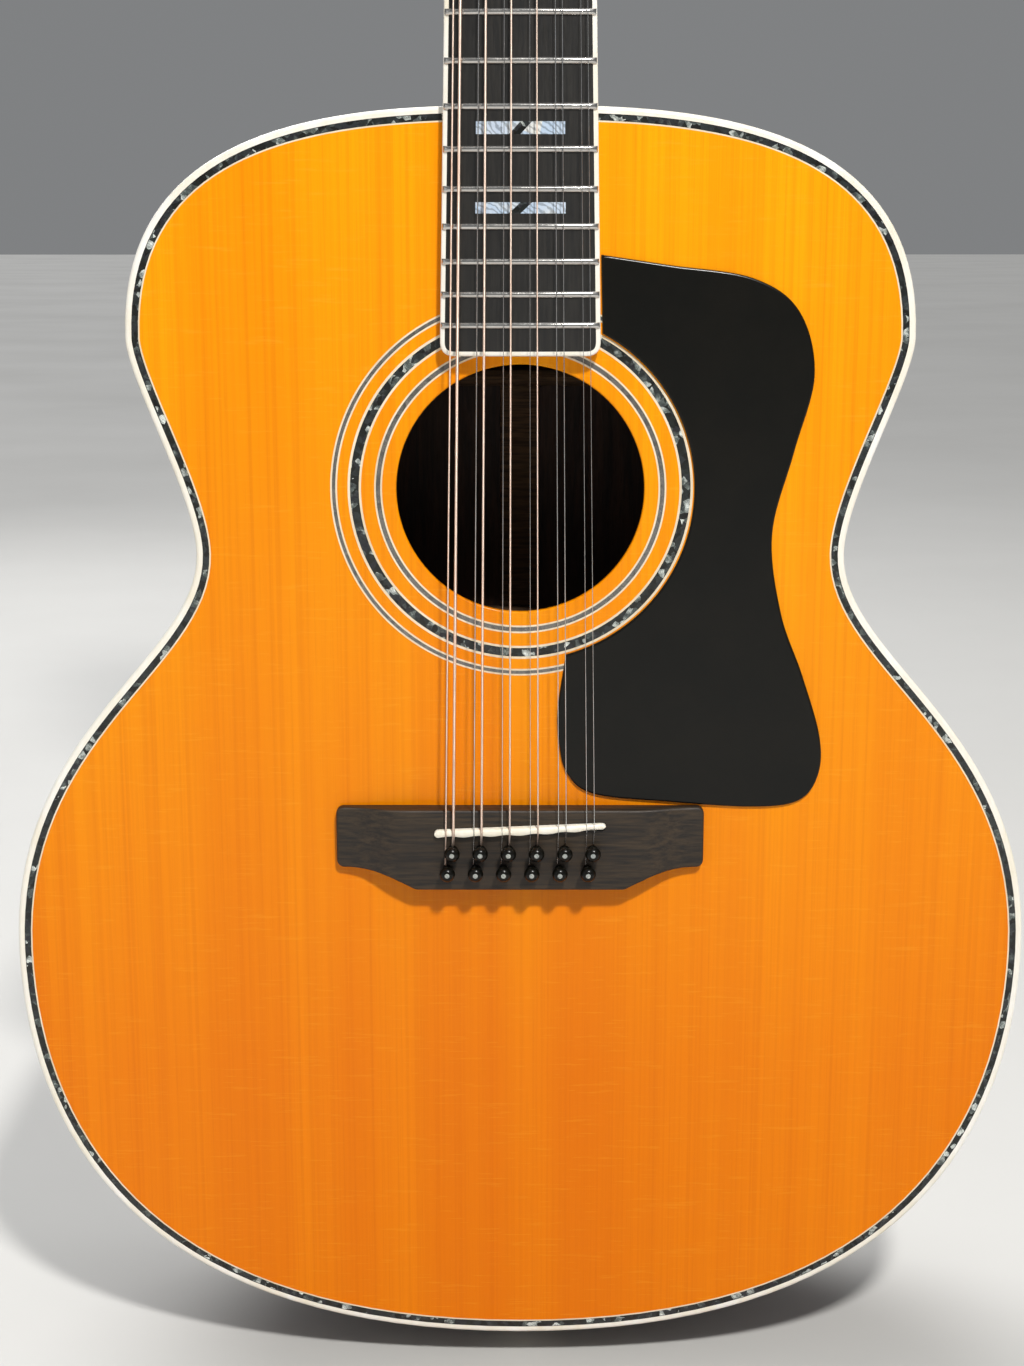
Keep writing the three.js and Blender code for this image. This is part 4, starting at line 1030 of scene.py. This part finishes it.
def fingerboard():
    """The crowned board, and the binding along its sides and round its end."""
    edge = board_edge()
    inner = inner_edge(edge)
    loops = []
    for x, z in inner:
        if x > 20:
            loop = [on_board(x * k / 8, z) for k in range(-8, 9)]
            loops.append(loop + [Vector((x, GLUE, z)), Vector((-x, GLUE, z))])
    piece("fingerboard_core", loft(loops), "ebony_dark", replaces="fingerboard")

    loops = []
    for outer, inner in zip(mirrored(edge), mirrored(inner)):
        start = Vector((inner[0], 0, inner[1]))
        out = Vector((outer[0], 0, outer[1])) - start
        top = BOARD_Y + camber(outer[0])
        rows = [(0, BOARD_Y + camber(inner[0])), (0.45, top), (0.78, top + 0.08), (0.93, top + 0.3)]
        rows += [(1, top + 0.75), (1, GLUE), (0, GLUE)]
        loops.append([start + out * share + Vector((0, y, 0)) for share, y in rows])
    piece("fingerboard_binding", loft(loops), "ivoroid", sharp=45)


def frets():
    """Twenty frets: rounded crowns with dressed ends."""
    shares = [-1, -0.985, -0.96] + [k / 8 for k in range(-7, 8)] + [0.96, 0.985, 1]
    parts = []
    for z in FRETS:
        half = board_half(z) - 0.35
        loops = []
        for share in shares:
            tall = 1.05 * min(1.0, math.sqrt(max(0.05, (1 - abs(share)) / 0.04)))
            rows = [(w, tall * h if h > 0.12 else -0.12) for w, h in FRET_SECTION]
            loops.append([on_board(share * half, z + w, h) for w, h in rows])
        parts.append(soft_ended(loft(loops)))
    piece("frets", parts, "nickel", sharp=50)


def tile(x0, x1, lean0, lean1, middle, tall):
    """A tile of the inlay whose left and right ends lean by lean0 and lean1."""
    loops = []
    for k in range(9):
        x = x0 + (x1 - x0) * k / 8
        lean = lean0 + (lean1 - lean0) * k / 8
        ends = [(x - lean, middle - tall / 2), (x + lean, middle + tall / 2)]
        face = [on_board(a, z, 0.02) for a, z in ends]
        loops.append(face + [on_board(a, z, -0.5) for a, z in reversed(ends)])
    return loft(loops)


def inlays():
    """Pearl blocks with a slanted wedge of darker shell in each, and dots on the board's side."""
    pearl, wedges, dots = [], [], []
    for number in MARKED:
        low, high = FRETS[number - 1], (NUT_Z if number == 1 else FRETS[number - 2])
        middle = (low + high) / 2
        tall = min(7.0, 0.3 * (high - low))
        reach = 0.61 * (board_half(middle) - BOARD_BINDING)
        gap = 0.13 * reach
        pearl.append(tile(-reach, -gap, 0, gap, middle, tall))
        pearl.append(tile(gap, reach, gap, 0, middle, tall))
        wedges.append(tile(-gap + 0.12, gap - 0.12, gap, gap, middle, tall))
        if number > 1:
            dots += [middle - 5, middle + 5] if number == 12 else [middle]
    piece("inlay_blocks", pearl, "pearl")
    piece("inlay_wedges", wedges, "abalone")
    sides = []
    for z in dots:
        corner = Vector((-board_half(z), BOARD_Y + 4.4, z))
        sides.append(lathe(SIDE_DOT, 20, lambda v: corner + Vector((v.y, -v.x, v.z))))
    piece("side_dots", sides, "black_line")


pickguard()
bridge()
fingerboard()
frets()
inlays()


# ---------- neck and headstock ----------
SIDES = (("bass", -1), ("treble", 1))
POSTS = [(name, side, i) for name, side in SIDES for i in range(TUNERS)]
FOOT_Z = TOP_Z + 0.3
HEEL_END = 38.4
# The heel from the neck to its cap: y, half its width, and how high above its foot it reaches.
HEEL_ROWS = spline(
    [(-57, 26, 84), (-48, 25, 56), (-38, 22.5, 40), (-22, 20, 29), (0, 17.5, 23), (HEEL_END, 15.5, 18)], 6
)
HEEL_TOP, HEEL_LOW = HEEL_ROWS[0][2], HEEL_ROWS[-1][2]
NECK_DEPTH = 14.5  # at the nut
HEAD_FLARE = bezier((24, 4), (24, 16), (36, 12), (36, 30), steps=160) + [(36, 30.01)]
CROWN_ROUND = 211.5  # where the headstock's back starts to round over
SCREW = [(0, 2.5), (1.3, 2.5), (1.45, 3.95), (1.3, 4.25), (0.7, 4.42), (0, 4.45)]


def post_x(i):
    return 24 + 0.55 * i


def post_z(i):
    return 44 + 27 * i


def smooth_step(share):
    share = min(1.0, max(0.0, share))
    return share * share * (3 - 2 * share)


def soft_max(a, b, blend):
    """The greater of two lengths, rounded where they are alike."""
    blend *= 1 - math.exp(-(a + b) / max(blend, 1e-6))
    return (a + b + math.sqrt((a - b) ** 2 + blend * blend)) / 2


def heel_at(y, column):
    """The heel's half width (column 1) or its reach (column 2) at y."""
    return between([(row[0], row[column]) for row in HEEL_ROWS], y)


def heel_depth(up):
    """The y that the heel reaches back to at a height above its foot."""
    for (y0, _, r0), (y1, _, r1) in zip(HEEL_ROWS, HEEL_ROWS[1:]):
        if r1 <= up <= r0:
            return y0 + (y1 - y0) * (r0 - up) / (r0 - r1)
    return HEEL_END


def shaft_section(z):
    """Points (x, y) of the neck's right side at a height, from its front edge to the middle of its back."""
    up = z - FOOT_Z
    half = board_half(min(z, NUT_Z))
    depth = NECK_DEPTH + 3.5 * max(0.0, (NUT_Z - z) / (NUT_Z - TOP_Z))
    fade = smooth_step((HEEL_TOP - up) / 34)
    reach = soft = depth
    if up < HEEL_TOP:
        heel = heel_depth(up) - FRONT_Y
        reach = max(depth, heel)
        soft = min(HEEL_END - FRONT_Y, soft_max(depth, heel, 6 * fade))
    points = []
    for turn in arc(0, math.pi / 2, 28):
        y = FRONT_Y + reach * math.sin(turn)
        share = min(1.0, reach * math.sin(turn) / depth)
        width = half * math.sqrt(max(0.0, 1 - share ** (8 / 3)))
        if up < HEEL_TOP:
            high = max(0.0, up) / heel_at(y, 2)
            width = soft_max(width, heel_at(y, 1) * math.sqrt(max(0.0, 1 - high * high)), 5 * fade)
        points.append((min(width, half), FRONT_Y + soft * math.sin(turn)))
    if up >= HEEL_LOW * 0.999:
        points[-1] = (0.02, FRONT_Y + soft)
    return points


def head_half(z):
    """Half the headstock's width at a height in its own frame."""
    if z <= 4:
        return 24.0
    if z <= 30:
        return next(x for x, at in HEAD_FLARE if at >= z - 1e-6)
    if z <= 202:
        return 36 + 5 * (z - 30) / 172
    return 41 * math.sqrt(max(0.0, 1 - (z - 202) / 12))


def neck_loop(right, front, away):
    """A section of the neck from its right half as (x, depth), back from its front along away."""
    whole = right + [(-x, y) for x, y in reversed(right)]
    return [front + Vector((x, 0, 0)) + away * y for x, y in whole]


def head_loop(up):
    """The neck's section at a height in the headstock's frame, turning from round to square."""
    share = smooth_step((up + 14) / 40)
    tilt = HEAD_TILT * share
    away = Vector((0, math.cos(tilt), -math.sin(tilt)))
    front = head_point(0, 0, up) if up > 0 else Vector((0, FRONT_Y, HEAD_ORIGIN.z + up))
    half = head_half(up) if up > 0 else board_half(min(front.z, NUT_Z))
    depth = NECK_DEPTH + (HEAD_THICK - NECK_DEPTH) * share - 1.4 / 2.6 * fallen(up - CROWN_ROUND, 2.6)
    p, q = 2 + 12 * share**2, 8 / 3 + 12 * share**2
    sines = [math.sin(turn) for turn in arc(0, math.pi / 2, 28)[:-1]]
    right = [(half * (1 - s**q) ** (1 / p), depth * s) for s in sines] + [(0.02, depth)]
    return neck_loop(right, front, away)


def eased(loops, first, last, passes):
    """Evens the loops from first to last along the neck. The front edges stay as they are."""
    for _ in range(passes):
        before = [list(loop) for loop in loops]
        for k in range(first, last + 1):
            for j in range(1, len(loops[k]) - 1):
                share = min(j, len(loops[k]) - 1 - j, 6) / 6
                middle = (before[k - 1][j] + before[k][j] * 2 + before[k + 1][j]) / 4
                loops[k][j] = before[k][j].lerp(middle, share)


def neck_blank():
    """The neck in one skin: the heel, the round shaft, and the headstock leaning back from the nut."""
    rises = [*range(30), *range(30, 98, 2)] + arc(98, NUT_Z - 14 - FOOT_Z, 22)
    loops = []
    for z in [TOP_Z - 1.5] + [FOOT_Z + rise for rise in rises]:
        loops.append(neck_loop(shaft_section(max(z, FOOT_Z)), Vector((0, 0, z)), Vector((0, 1, 0))))
    eased(loops, 20, 64, 40)
    shaft_loops = len(loops)
    ups = [*range(-12, 32, 2), *range(32, 202, 10), 200, 202, 203, 204.5, 206, 207.5, 209, 210.5]
    loops += [head_loop(up) for up in ups + [CROWN_ROUND, 212.4, 213.1, 213.6, 213.85, 213.97]]
    eased(loops, shaft_loops - 1, shaft_loops + 21, 12)
    return loft(loops)


def turned(profile, x, z, steps=24):
    """A lathe body on a headstock axis at (x, z). Heights are measured forwards from the wood's front."""
    return lathe(profile, steps, lambda v: head_point(v.x + x, v.y, v.z + z))


def bar(x0, x1, y0, y1, z0, z1):
    return loft([[Vector((x, y, z)) for x, y in ((x0, y0), (x1, y0), (x1, y1), (x0, y1))] for z in (z0, z1)])


def neck():
    """The neck with its post holes and rod channel, its tenon, and the heel's cap over a pale line."""
    post_hole = [(0, -30), (3.7, -30), (3.7, 30), (0, 30)]
    tools = [turned(post_hole, side * post_x(i), post_z(i)) for _, side, i in POSTS]
    tools.append(bar(-3, 3, FRONT_Y - 1, FRONT_Y + 9.6, TOP_Z - 5, NUT_Z + 35))
    carved("neck_wood", neck_blank(), tools, "mahogany", replaces="neck", sharp=42)
    piece("neck_tenon", bar(-10, 10, -48, 12, TOP_Z - 22, TOP_Z - 1.4), "mahogany_bare")
    round_edge = [(15.5 * math.cos(t), FOOT_Z + 18 * math.sin(t)) for t in arc(0, math.pi, 40)]
    outline = [(15.5, TOP_Z - 0.6)] + round_edge + [(-15.5, TOP_Z - 0.6)]
    cap = plate(outline, [], HEEL_END + 0.6, node_box("heel_cap")[1].y, round_back=0.7)
    piece("heel_cap_plate", cap, "ebony", replaces="heel_cap")
    piece("heel_cap_line", plate(outline, [], HEEL_END - 0.1, HEEL_END + 0.6), "ivoroid")


def head_path():
    """The headstock's right edge from just above the nut to the middle of its crown, as (x, z)."""
    path = [(24, 0.4), (24, 2)] + bezier((24, 4), (24, 16), (36, 12), (36, 30), steps=20)
    path += [(head_half(z), z) for z in (30, 60, 100, 150, 180, 196)]
    return path + [(41 * (1 - t), 202 + 24 * t - 12 * t * t) for t in arc(0, 1, 14)]


def ring_body(profile, x, z, steps=32):
    """A closed profile of (radius, height) turned round a headstock axis."""
    loops = []
    for turn in full_turn(steps):
        across, along = math.cos(turn), math.sin(turn)
        loops.append([head_point(x + r * across, -h, z + r * along) for r, h in profile])
    return loft(loops, closed=True)


def veneer():
    """The dark face of the headstock, bound in ivoroid, with its post holes, bushes and the rod's window."""
    outer = mirrored(head_path())
    inner = inset([(24, -4)] + outer + [(-24, -4)], 1.7)[1:-1]
    inner[0], inner[-1] = (inner[0][0], 0.4), (inner[-1][0], 0.4)
    holes = [circle(3.7, 24, side * post_x(i), post_z(i)) for _, side, i in POSTS]
    holes.append([(6 * math.cos(t), 17 + 13 * math.sin(t)) for t in full_turn(32)])
    face = plate(inner, holes, VENEER_Y, 0.02, place=head_point)
    piece("headstock_face", face, "ebony_dark", replaces="headstock_veneer")
    binding = plate(outer + inner[::-1], [], VENEER_Y, 0.02, place=head_point)
    piece("headstock_binding", binding, "ivoroid")
    bush = [(3.3, 0.6), (5.3, 2.0), (5.3, 2.6), (4.95, 3.05), (4.3, 3.3), (3.3, 3.3)]
    bushes = [ring_body(bush, side * post_x(i), post_z(i)) for _, side, i in POSTS]
    piece("post_bushings", bushes, "gold", sharp=50)


def rod_cover():
    """A bell-shaped cover of two layers, held by three small screws."""
    right = bezier((11, 5), (14, 20), (9, 22), (8, 38), steps=14) + quadratic((8, 38), (7, 46), (0, 46), 10)
    outline = mirrored(right)
    base = plate(outline, [], VENEER_Y - 1.0, VENEER_Y, place=head_point)
    piece("rod_cover_base", base, "ivoroid")
    inner = inset(outline, 0.9)
    face = plate(inner, [], VENEER_Y - 1.85, VENEER_Y - 1.0, place=head_point, round_front=0.45)
    piece("rod_cover_face", face, "black_gloss", replaces="truss_rod_cover")
    screws = [turned(SCREW, x, z, 20) for x, z in ((-7.4, 9.5), (7.4, 9.5), (0, 41))]
    piece("rod_cover_screws", screws, "gold", sharp=40)


def nut():
    """The bone nut, crowned like the board, with a groove for each string."""
    half = 23.4
    low, high = NUT_Z - 0.25, NUT_HIGH.z + 0.25
    loops = []
    for k in range(-16, 17):
        x = half * k / 16
        y = NUT_LOW.y + camber(x) + 0.875 * fallen(abs(x) - (half - 0.8), 0.8)
        section = [(low, GLUE), (low, y + 0.5), (low + 0.35, y + 0.1), (low + 1.1, y)]
        section += [(high - 2.2, y + 0.25), (high - 0.9, y + 0.9), (high - 0.1, y + 2.0), (high, GLUE)]
        loops.append([Vector((x, a, z)) for z, a in section])
    grooves = []
    for string in STRINGS:
        ends = [string["nut"] + Vector((0, 0, up)) for up in (-4, 9)]
        grooves.append(sweep(ends, string["radius"] + 0.06, 12))
    carved("nut_bone", loft(loops), grooves, "bone", replaces="nut", sharp=50)


def end_pin():
    """A turned pin with a pearl dot in its end."""
    upright = lambda v: Vector((v.x, v.z, -v.y))
    profile = [
        (0, 0), (5.6, 0), (6.6, 0.25), (7.2, 0.8), (7.5, 1.8), (7.5, 3.6), (7.1, 5.0), (5.9, 6.4), (4.9, 7.4),
        (4.55, 8.4), (4.6, 9.6), (5.2, 10.8), (6.1, 11.4), (6.2, 12.2), (6.2, TAIL_Z - 0.06),
        (4.2, TAIL_Z - 0.05), (4.1, 30), (3.4, 34), (0, 34),
    ]
    piece("end_pin_body", lathe(profile, 40, upright), "ebony", replaces="end_pin", sharp=45)
    dot = [(0, 0.4), (2.2, 0.4), (2.2, 0.02), (0, 0.01)]
    piece("end_pin_dot", lathe(dot, 28, upright), "pearl")


# ---------- strings ----------
# The courses from the bass side to the treble side, each with its left and its right string: the
# diameter of each, and whether it is wound.
COURSES = (
    (("low_e_octave", 0.69, True), ("low_e", 1.19, True)),
    (("a_octave", 0.46, False), ("a", 0.99, True)),
    (("d_octave", 0.3, False), ("d", 0.76, True)),
    (("g_octave", 0.23, False), ("g", 0.58, True)),
    (("b_left", 0.36, False), ("b_right", 0.36, False)),
    (("high_e_left", 0.25, False), ("high_e_right", 0.25, False)),
)
WAIST = 2.35  # radius of a post where the string winds on
WIND_Y = VENEER_Y - 4.5


def string_rows():
    """Each string's name, radius, material, place at the saddle and nut, and the post it winds on."""
    rows = []
    for course, pair in enumerate(COURSES):
        for member, (name, width, is_wound) in enumerate(pair):
            bass = course < 3
            outer = 1 - member if bass else member
            nut_x = (course - 2.5) * COURSE_STEP_NUT + (member - 0.5) * PAIR_STEP_NUT
            nut_y = NUT_LOW.y + 0.15 + camber(nut_x) - width / 2
            rows.append({
                "name": name, "radius": width / 2,
                "material": "bronze_string" if is_wound else "plain_string",
                "side": -1 if bass else 1, "tuner": 2 * (course if bass else 5 - course) + 1 - outer,
                "pin": PINS[2 * course + member], "leave": (-0.9, 0.3)[member],
                "saddle_x": (course - 2.5) * COURSE_STEP + (member - 0.5) * PAIR_STEP,
                "nut": Vector((nut_x, nut_y, NUT_HIGH.z - 2.6)),
            })
    return rows


STRINGS = string_rows()


def tangent_point(string):
    """Where the string meets its post's winding, the post's middle and the winding's radius: (x, z)."""
    centre = Vector((string["side"] * post_x(string["tuner"]), post_z(string["tuner"])))
    reach = WAIST + string["radius"]
    back = Vector((string["nut"].x, 0)) - centre
    turn = math.acos(min(1.0, reach / back.length))
    options = [centre + Matrix.Rotation(turn * way, 2) @ back.normalized() * reach for way in (1, -1)]
    return min(options, key=lambda p: abs(p.x)), centre, reach


def string_wire(string):
    """A string from inside its pin hole over the saddle and the nut to its post."""
    radius, leave, saddle_x = string["radius"], string["leave"], string["saddle_x"]
    x, z = string["pin"]
    crest_y = SADDLE_CREST + camber(saddle_x) - radius
    rear = saddle_z(saddle_x)
    at_nut = string["nut"]
    path = [
        Vector((x + leave * 0.6, BRIDGE_TOP_Y + 6, z + 1.6)),
        Vector((x + leave * 0.9, BRIDGE_TOP_Y + 1.0, z + 2.0)),
        Vector((x + leave, BRIDGE_TOP_Y - 0.35 - radius, z + 3.0)),
        Vector((saddle_x * 0.95 + (x + leave) * 0.05, crest_y + 0.6, rear - 1.3)),
        Vector((saddle_x, crest_y + 0.12, rear - 0.4)),
        Vector((saddle_x, crest_y, rear + 0.7)),
    ]
    path += [path[5].lerp(at_nut, share) for share in (0.004, 0.25, 0.5, 0.75)]
    path += [at_nut, Vector((at_nut.x, at_nut.y + 0.28, NUT_HIGH.z - 0.7))]
    point, _, _ = tangent_point(string)
    end = head_point(point.x, WIND_Y, point.y)
    path.append(path[-1].lerp(end, 0.04) + Vector((0, -0.02, 0)))
    path += [path[-1].lerp(end, 0.5), end]
    name, material = string["name"], string["material"]
    piece(f"{name}_wire", sweep(path, radius, 12), material, replaces=f"{name}_string", sharp=60)


def winding(string):
    """The turns of string on a post, ending at its hole. They go round with the post."""
    point, centre, reach = tangent_point(string)
    radius = string["radius"]
    start = math.atan2(point.y - centre.y, point.x - centre.x)
    turns = 2.6 if radius > 0.3 else 4.2
    pitch = 2 * radius + 0.04
    steps = int(turns * 28)
    whole = -string["side"] * 2 * math.pi * turns  # the string comes up past the post's inner side
    rows = [(start + whole * k / steps, WIND_Y - pitch * turns * k / steps, reach) for k in range(steps + 1)]
    angle, y = start + whole, WIND_Y - pitch * turns - 0.1
    rows += [(angle, y, reach * share) for share in (0.75, 0.4, 0.0, -0.5, -1.0, -1.5)]
    path = [head_point(centre.x + r * math.cos(a), at, centre.y + r * math.sin(a)) for a, at, r in rows]
    body = f"{'bass' if string['side'] < 0 else 'treble'}_post_{string['tuner'] + 1}"
    material = string["material"]
    piece(f"{string['name']}_winding", sweep(path, radius, 10), material, body, sharp=60)
    string["hole"] = (angle, y)


# ---------- machine heads ----------
# A machine head's own frame: its origin is where the post's axis meets the headstock's back, x runs
# out to the button, z up the headstock and y back.
GEAR_TEETH = 14
GEAR_MODULE = 0.62
GEAR_RADIUS = GEAR_TEETH * GEAR_MODULE / 2
GEAR_Y = 4.2
WORM_RADIUS = 2.1
WORM_Z = GEAR_RADIUS + WORM_RADIUS
WORM_LEAD = math.pi * GEAR_MODULE
WORM_LONG = 5.84
# A tooth: how far beyond the pitch circle, and the share of half a tooth's angle.
TOOTH = ((-1.1, -1), (-1.02, -0.72), (-0.25, -0.42), (0.42, -0.2), (0.42, 0.2), (-0.25, 0.42), (-1.02, 0.72))
KNOB_ROWS = spline(
    [(0, 2.4, 2.4), (0.9, 2.6, 2.7), (2.5, 2.3, 3.3), (4.0, 3.0, 6.0), (5.4, 3.6, 8.5), (9, 3.9, 9.4),
     (12.4, 3.3, 8.7), (14.2, 2.2, 6.8), (15, 0.9, 3.6)], 4
)


def machine_place(side, i):
    """Puts a machine head's points in the guitar's frame."""
    return lambda v: head_point(side * (post_x(i) + v.x), HEAD_THICK + v.y, post_z(i) + v.z)


def about_stem(x, radius, steps):
    """Points round the worm's axis."""
    turns = full_turn(steps)
    return [Vector((x, GEAR_Y + radius * math.cos(t), WORM_Z + radius * math.sin(t))) for t in turns]


def gear():
    """The gear's slanted teeth, its rims eased."""
    step = math.pi / GEAR_TEETH
    loops = []
    for y, ease in ((-1.3, 0.35), (-1.0, 0.0), (0, 0), (1.0, 0.0), (1.3, 0.35)):
        twist = y * WORM_LEAD / (2 * math.pi * WORM_RADIUS) / GEAR_RADIUS
        loop = []
        for k in range(GEAR_TEETH):
            for beyond, share in TOOTH:
                radius = GEAR_RADIUS + beyond - ease
                angle = math.pi / 2 + (2 * k + share) * step - twist
                loop.append(Vector((radius * math.cos(angle), GEAR_Y + y, radius * math.sin(angle))))
        loops.append(loop)
    return loft(loops)


def post_body():
    """The string post from the screw behind its gear to its top. Heights run from the wood's back."""
    front = HEAD_THICK + 2.0
    profile = [
        (0, -6.7), (1.9, -6.7), (2.2, -6.5), (2.2, -5.4), (3, -5.4), (3, front + 1.6), (2.75, front + 2.2),
        (WAIST, front + 3.0), (WAIST, front + 7.0), (2.7, front + 7.7), (2.95, front + 8.2),
        (2.95, front + 8.9), (2.7, front + 9.3), (2.1, front + 9.5), (0, front + 9.5),
    ]
    return lathe(profile, 28)


def worm():
    """A round bar with a one-start thread."""
    around = 24
    steps = int(WORM_LONG / WORM_LEAD * around)
    loops = []
    for k in range(steps + 1):
        x = (k - steps / 2) * WORM_LEAD / around
        end = min(1.0, k / 8, (steps - k) / 8)
        loop = []
        for j in range(around):
            turn = -math.pi / 2 + 2 * math.pi * j / around
            phase = (k - j) / around % 1.0
            crest = max(0.0, min(1.0, (0.27 - min(phase, 1 - phase)) / 0.17))
            radius = 1.3 + 1.2 * crest * end
            loop.append(Vector((x, GEAR_Y + radius * math.cos(turn), WORM_Z + radius * math.sin(turn))))
        loops.append(loop)
    return loft(loops)


def knob_parts(start):
    """A smooth oval button a little hollowed at its waist, its stem, and the screw in its end."""
    button = []
    for x, thick, wide in KNOB_ROWS:
        loop = []
        for t in full_turn(32):
            c, s = math.cos(t), math.sin(t)
            y, z = math.copysign(abs(c) ** 0.86, c), math.copysign(abs(s) ** 0.86, s)
            loop.append(Vector((start + x, GEAR_Y + thick * y, WORM_Z + wide * z)))
        button.append(loop)
    stem = [(WORM_LONG / 2 - 0.6, 1.3), (WORM_LONG / 2 + 0.2, 1.4), (8.4, 1.4)]
    stem += [(start + 0.3, 1.4)] if start < 9.8 else [(8.5, 2.0), (9.3, 2.2), (start + 0.3, 2.2)]
    screw = [(0, 0.0), (1.5, 0.0), (1.5, 0.35), (1.2, 0.6), (0, 0.62)]
    cap = lathe(screw, 18, lambda v: Vector((start + 14.9 - v.y, GEAR_Y + v.x, WORM_Z + v.z)))
    return [soft_ended(loft(button)), loft([about_stem(x, radius, 20) for x, radius in stem]), cap]


def machine_heads():
    """On each axis a post with its string hole, its gear, and a worm with its stem and button."""
    for name, side, i in POSTS:
        place = machine_place(side, i)
        string = next(s for s in STRINGS if s["side"] == side and s["tuner"] == i)
        angle, y = string["hole"]
        across = Vector((math.cos(angle), 0, math.sin(angle))) * 6
        centre = Vector((side * post_x(i), y, post_z(i)))
        hole = sweep([head_point(*(centre + across * way)) for way in (-1, 1)], string["radius"] + 0.25, 12)
        body = f"{name}_post_{i + 1}"
        pin_name = f"{name}_post_pin_{i + 1}"
        carved(pin_name, placed(post_body(), place), [hole], "gold_post", body, body, sharp=40)
        piece(f"{name}_gear_{i + 1}", placed(gear(), place), "gold_post", body, sharp=30)
        body = f"{name}_knob_{i + 1}"
        start = head_half(post_z(i)) - post_x(i) + 3.2
        parts = [placed(part, place) for part in [worm()] + knob_parts(start)]
        piece(f"{name}_button_{i + 1}", parts, "gold", body, body, sharp=55)


# ---------- tuner covers ----------
# A cover in its machine head's frame: its middle and its half widths, (x, z), and its section from
# the rim inside its wall to the crown, each row how far its outline is drawn in and y.
COVER_MIDDLE = (0.9, 2.1)
COVER_HALF = (7.3, 8.3)
COVER_CORNER = 3.4
COVER_ROWS = (
    (2.9, 7.1), (1.5, 6.7), (0.9, 5.4), (0.9, 0.3), (0, 0.3), (0, 5.6), (0.15, 6.4), (0.6, 7.0), (1.25, 7.45),
    (2.1, 7.7), (3.6, 7.9), (5.6, 8.0),
)
SLEEVE = ((-0.8, 1.6), (0.9, 1.6), (1.0, 1.7), (1.0, 2.5), (0.7, 2.8), (-0.5, 2.8), (-0.8, 2.7))
DOME = [(0, -1.5), (1.5, -1.5), (1.5, -2.1), (1.28, -2.5), (0.75, -2.78), (0, -2.86)]
STRIP = {"low": -10, "high": 14, "inner": -5, "outer": 6.8, "corner": 2.4, "front": 0.3, "back": 1.7}
CORNERS = ((1, 1), (-1, 1), (-1, -1), (1, -1))  # anticlockwise from the upper right one


def box_corners(x, z, half_x, half_z):
    return [(x + a * half_x, z + b * half_z) for a, b in CORNERS]


def round_corners(corners, radius, steps=6):
    """A box's outline with round corners."""
    outline = []
    for quarter, ((x, z), (x_sign, z_sign)) in enumerate(zip(corners, CORNERS)):
        for turn in arc(math.pi / 2 * quarter, math.pi / 2 * (quarter + 1), steps):
            outline.append((x + radius * (math.cos(turn) - x_sign), z + radius * (math.sin(turn) - z_sign)))
    return outline


def cover():
    """A thin cup, open towards the headstock, and the sleeve that its stem leaves through."""
    loops = []
    for shrink, y in COVER_ROWS:
        corners = box_corners(*COVER_MIDDLE, COVER_HALF[0] - shrink, COVER_HALF[1] - shrink)
        outline = round_corners(corners, max(COVER_CORNER - shrink, 0.5))
        loops.append([Vector((x, y, z)) for x, z in outline])
    edge = COVER_MIDDLE[0] + COVER_HALF[0]
    sleeve = [about_stem(edge + x, radius, 24) for x, radius in SLEEVE]
    return loft(loops), loft(sleeve, closed=True)


def cover_screw(x, z, turn):
    """A domed screw head behind the strip, and the two bars that cut its cross."""
    middle = Vector((x, 0, z))
    bars = []
    for quarter in (0, math.pi / 2):
        spun = Matrix.Rotation(turn + quarter, 2)
        outline = [spun @ Vector(corner) for corner in box_corners(0, 0, 1.05, 0.2)]
        bars.append(loft([[Vector((a, y, b)) + middle for a, b in outline] for y in (2.35, 3.2)]))
    return lathe(DOME, 24, lambda v: v + middle), bars


def tuner_covers():
    """On each side, a strip with six covers, and the screws between them."""
    last = TUNERS - 1
    for name, side in SIDES:
        corners = []
        for x, z in (("outer", "high"), ("inner", "high"), ("inner", "low"), ("outer", "low")):
            i = last if z == "high" else 0
            corners.append((post_x(i) + STRIP[x], post_z(i) + STRIP[z]))
        outline = [(side * x, z) for x, z in round_corners(corners, STRIP["corner"])][::side]
        front, back = HEAD_THICK + STRIP["front"], HEAD_THICK + STRIP["back"]
        shells, heads, bars = [plate(outline, [], front, back, round_back=0.5, place=head_point)], [], []
        for i in range(TUNERS):
            place = machine_place(side, i)
            shells += [placed(shell, place) for shell in cover()]
            for z in ((-8.2,) if i == 0 else (-11.4,)) + ((12.2,) if i == last else ()):
                head, cross = cover_screw(0.9, z, 0.5 + 1.1 * i)
                heads.append(placed(head, place))
                bars += [placed(part, place) for part in cross]
        node = f"{name}_tuner_covers"
        piece(f"{node}_cast", shells, "gold", replaces=node, sharp=40)
        carved(f"{name}_cover_screws", merged(heads), bars, "gold", sharp=35)


neck()
veneer()
rod_cover()
nut()
end_pin()
for string in STRINGS:
    string_wire(string)
    winding(string)
machine_heads()
tuner_covers()


# ---------- floor ----------
def floor():
    """A pale plane under the guitar, wide enough to meet the sky."""
    mesh = bpy.data.meshes.new("floor")
    form = bmesh.new()
    bmesh.ops.create_grid(form, x_segments=8, y_segments=8, size=30)
    form.to_mesh(mesh)
    form.free()
    mesh.materials.append(MATERIALS["floor"])
    in_scene("floor", mesh, (0, 0, -0.0005))


floor()
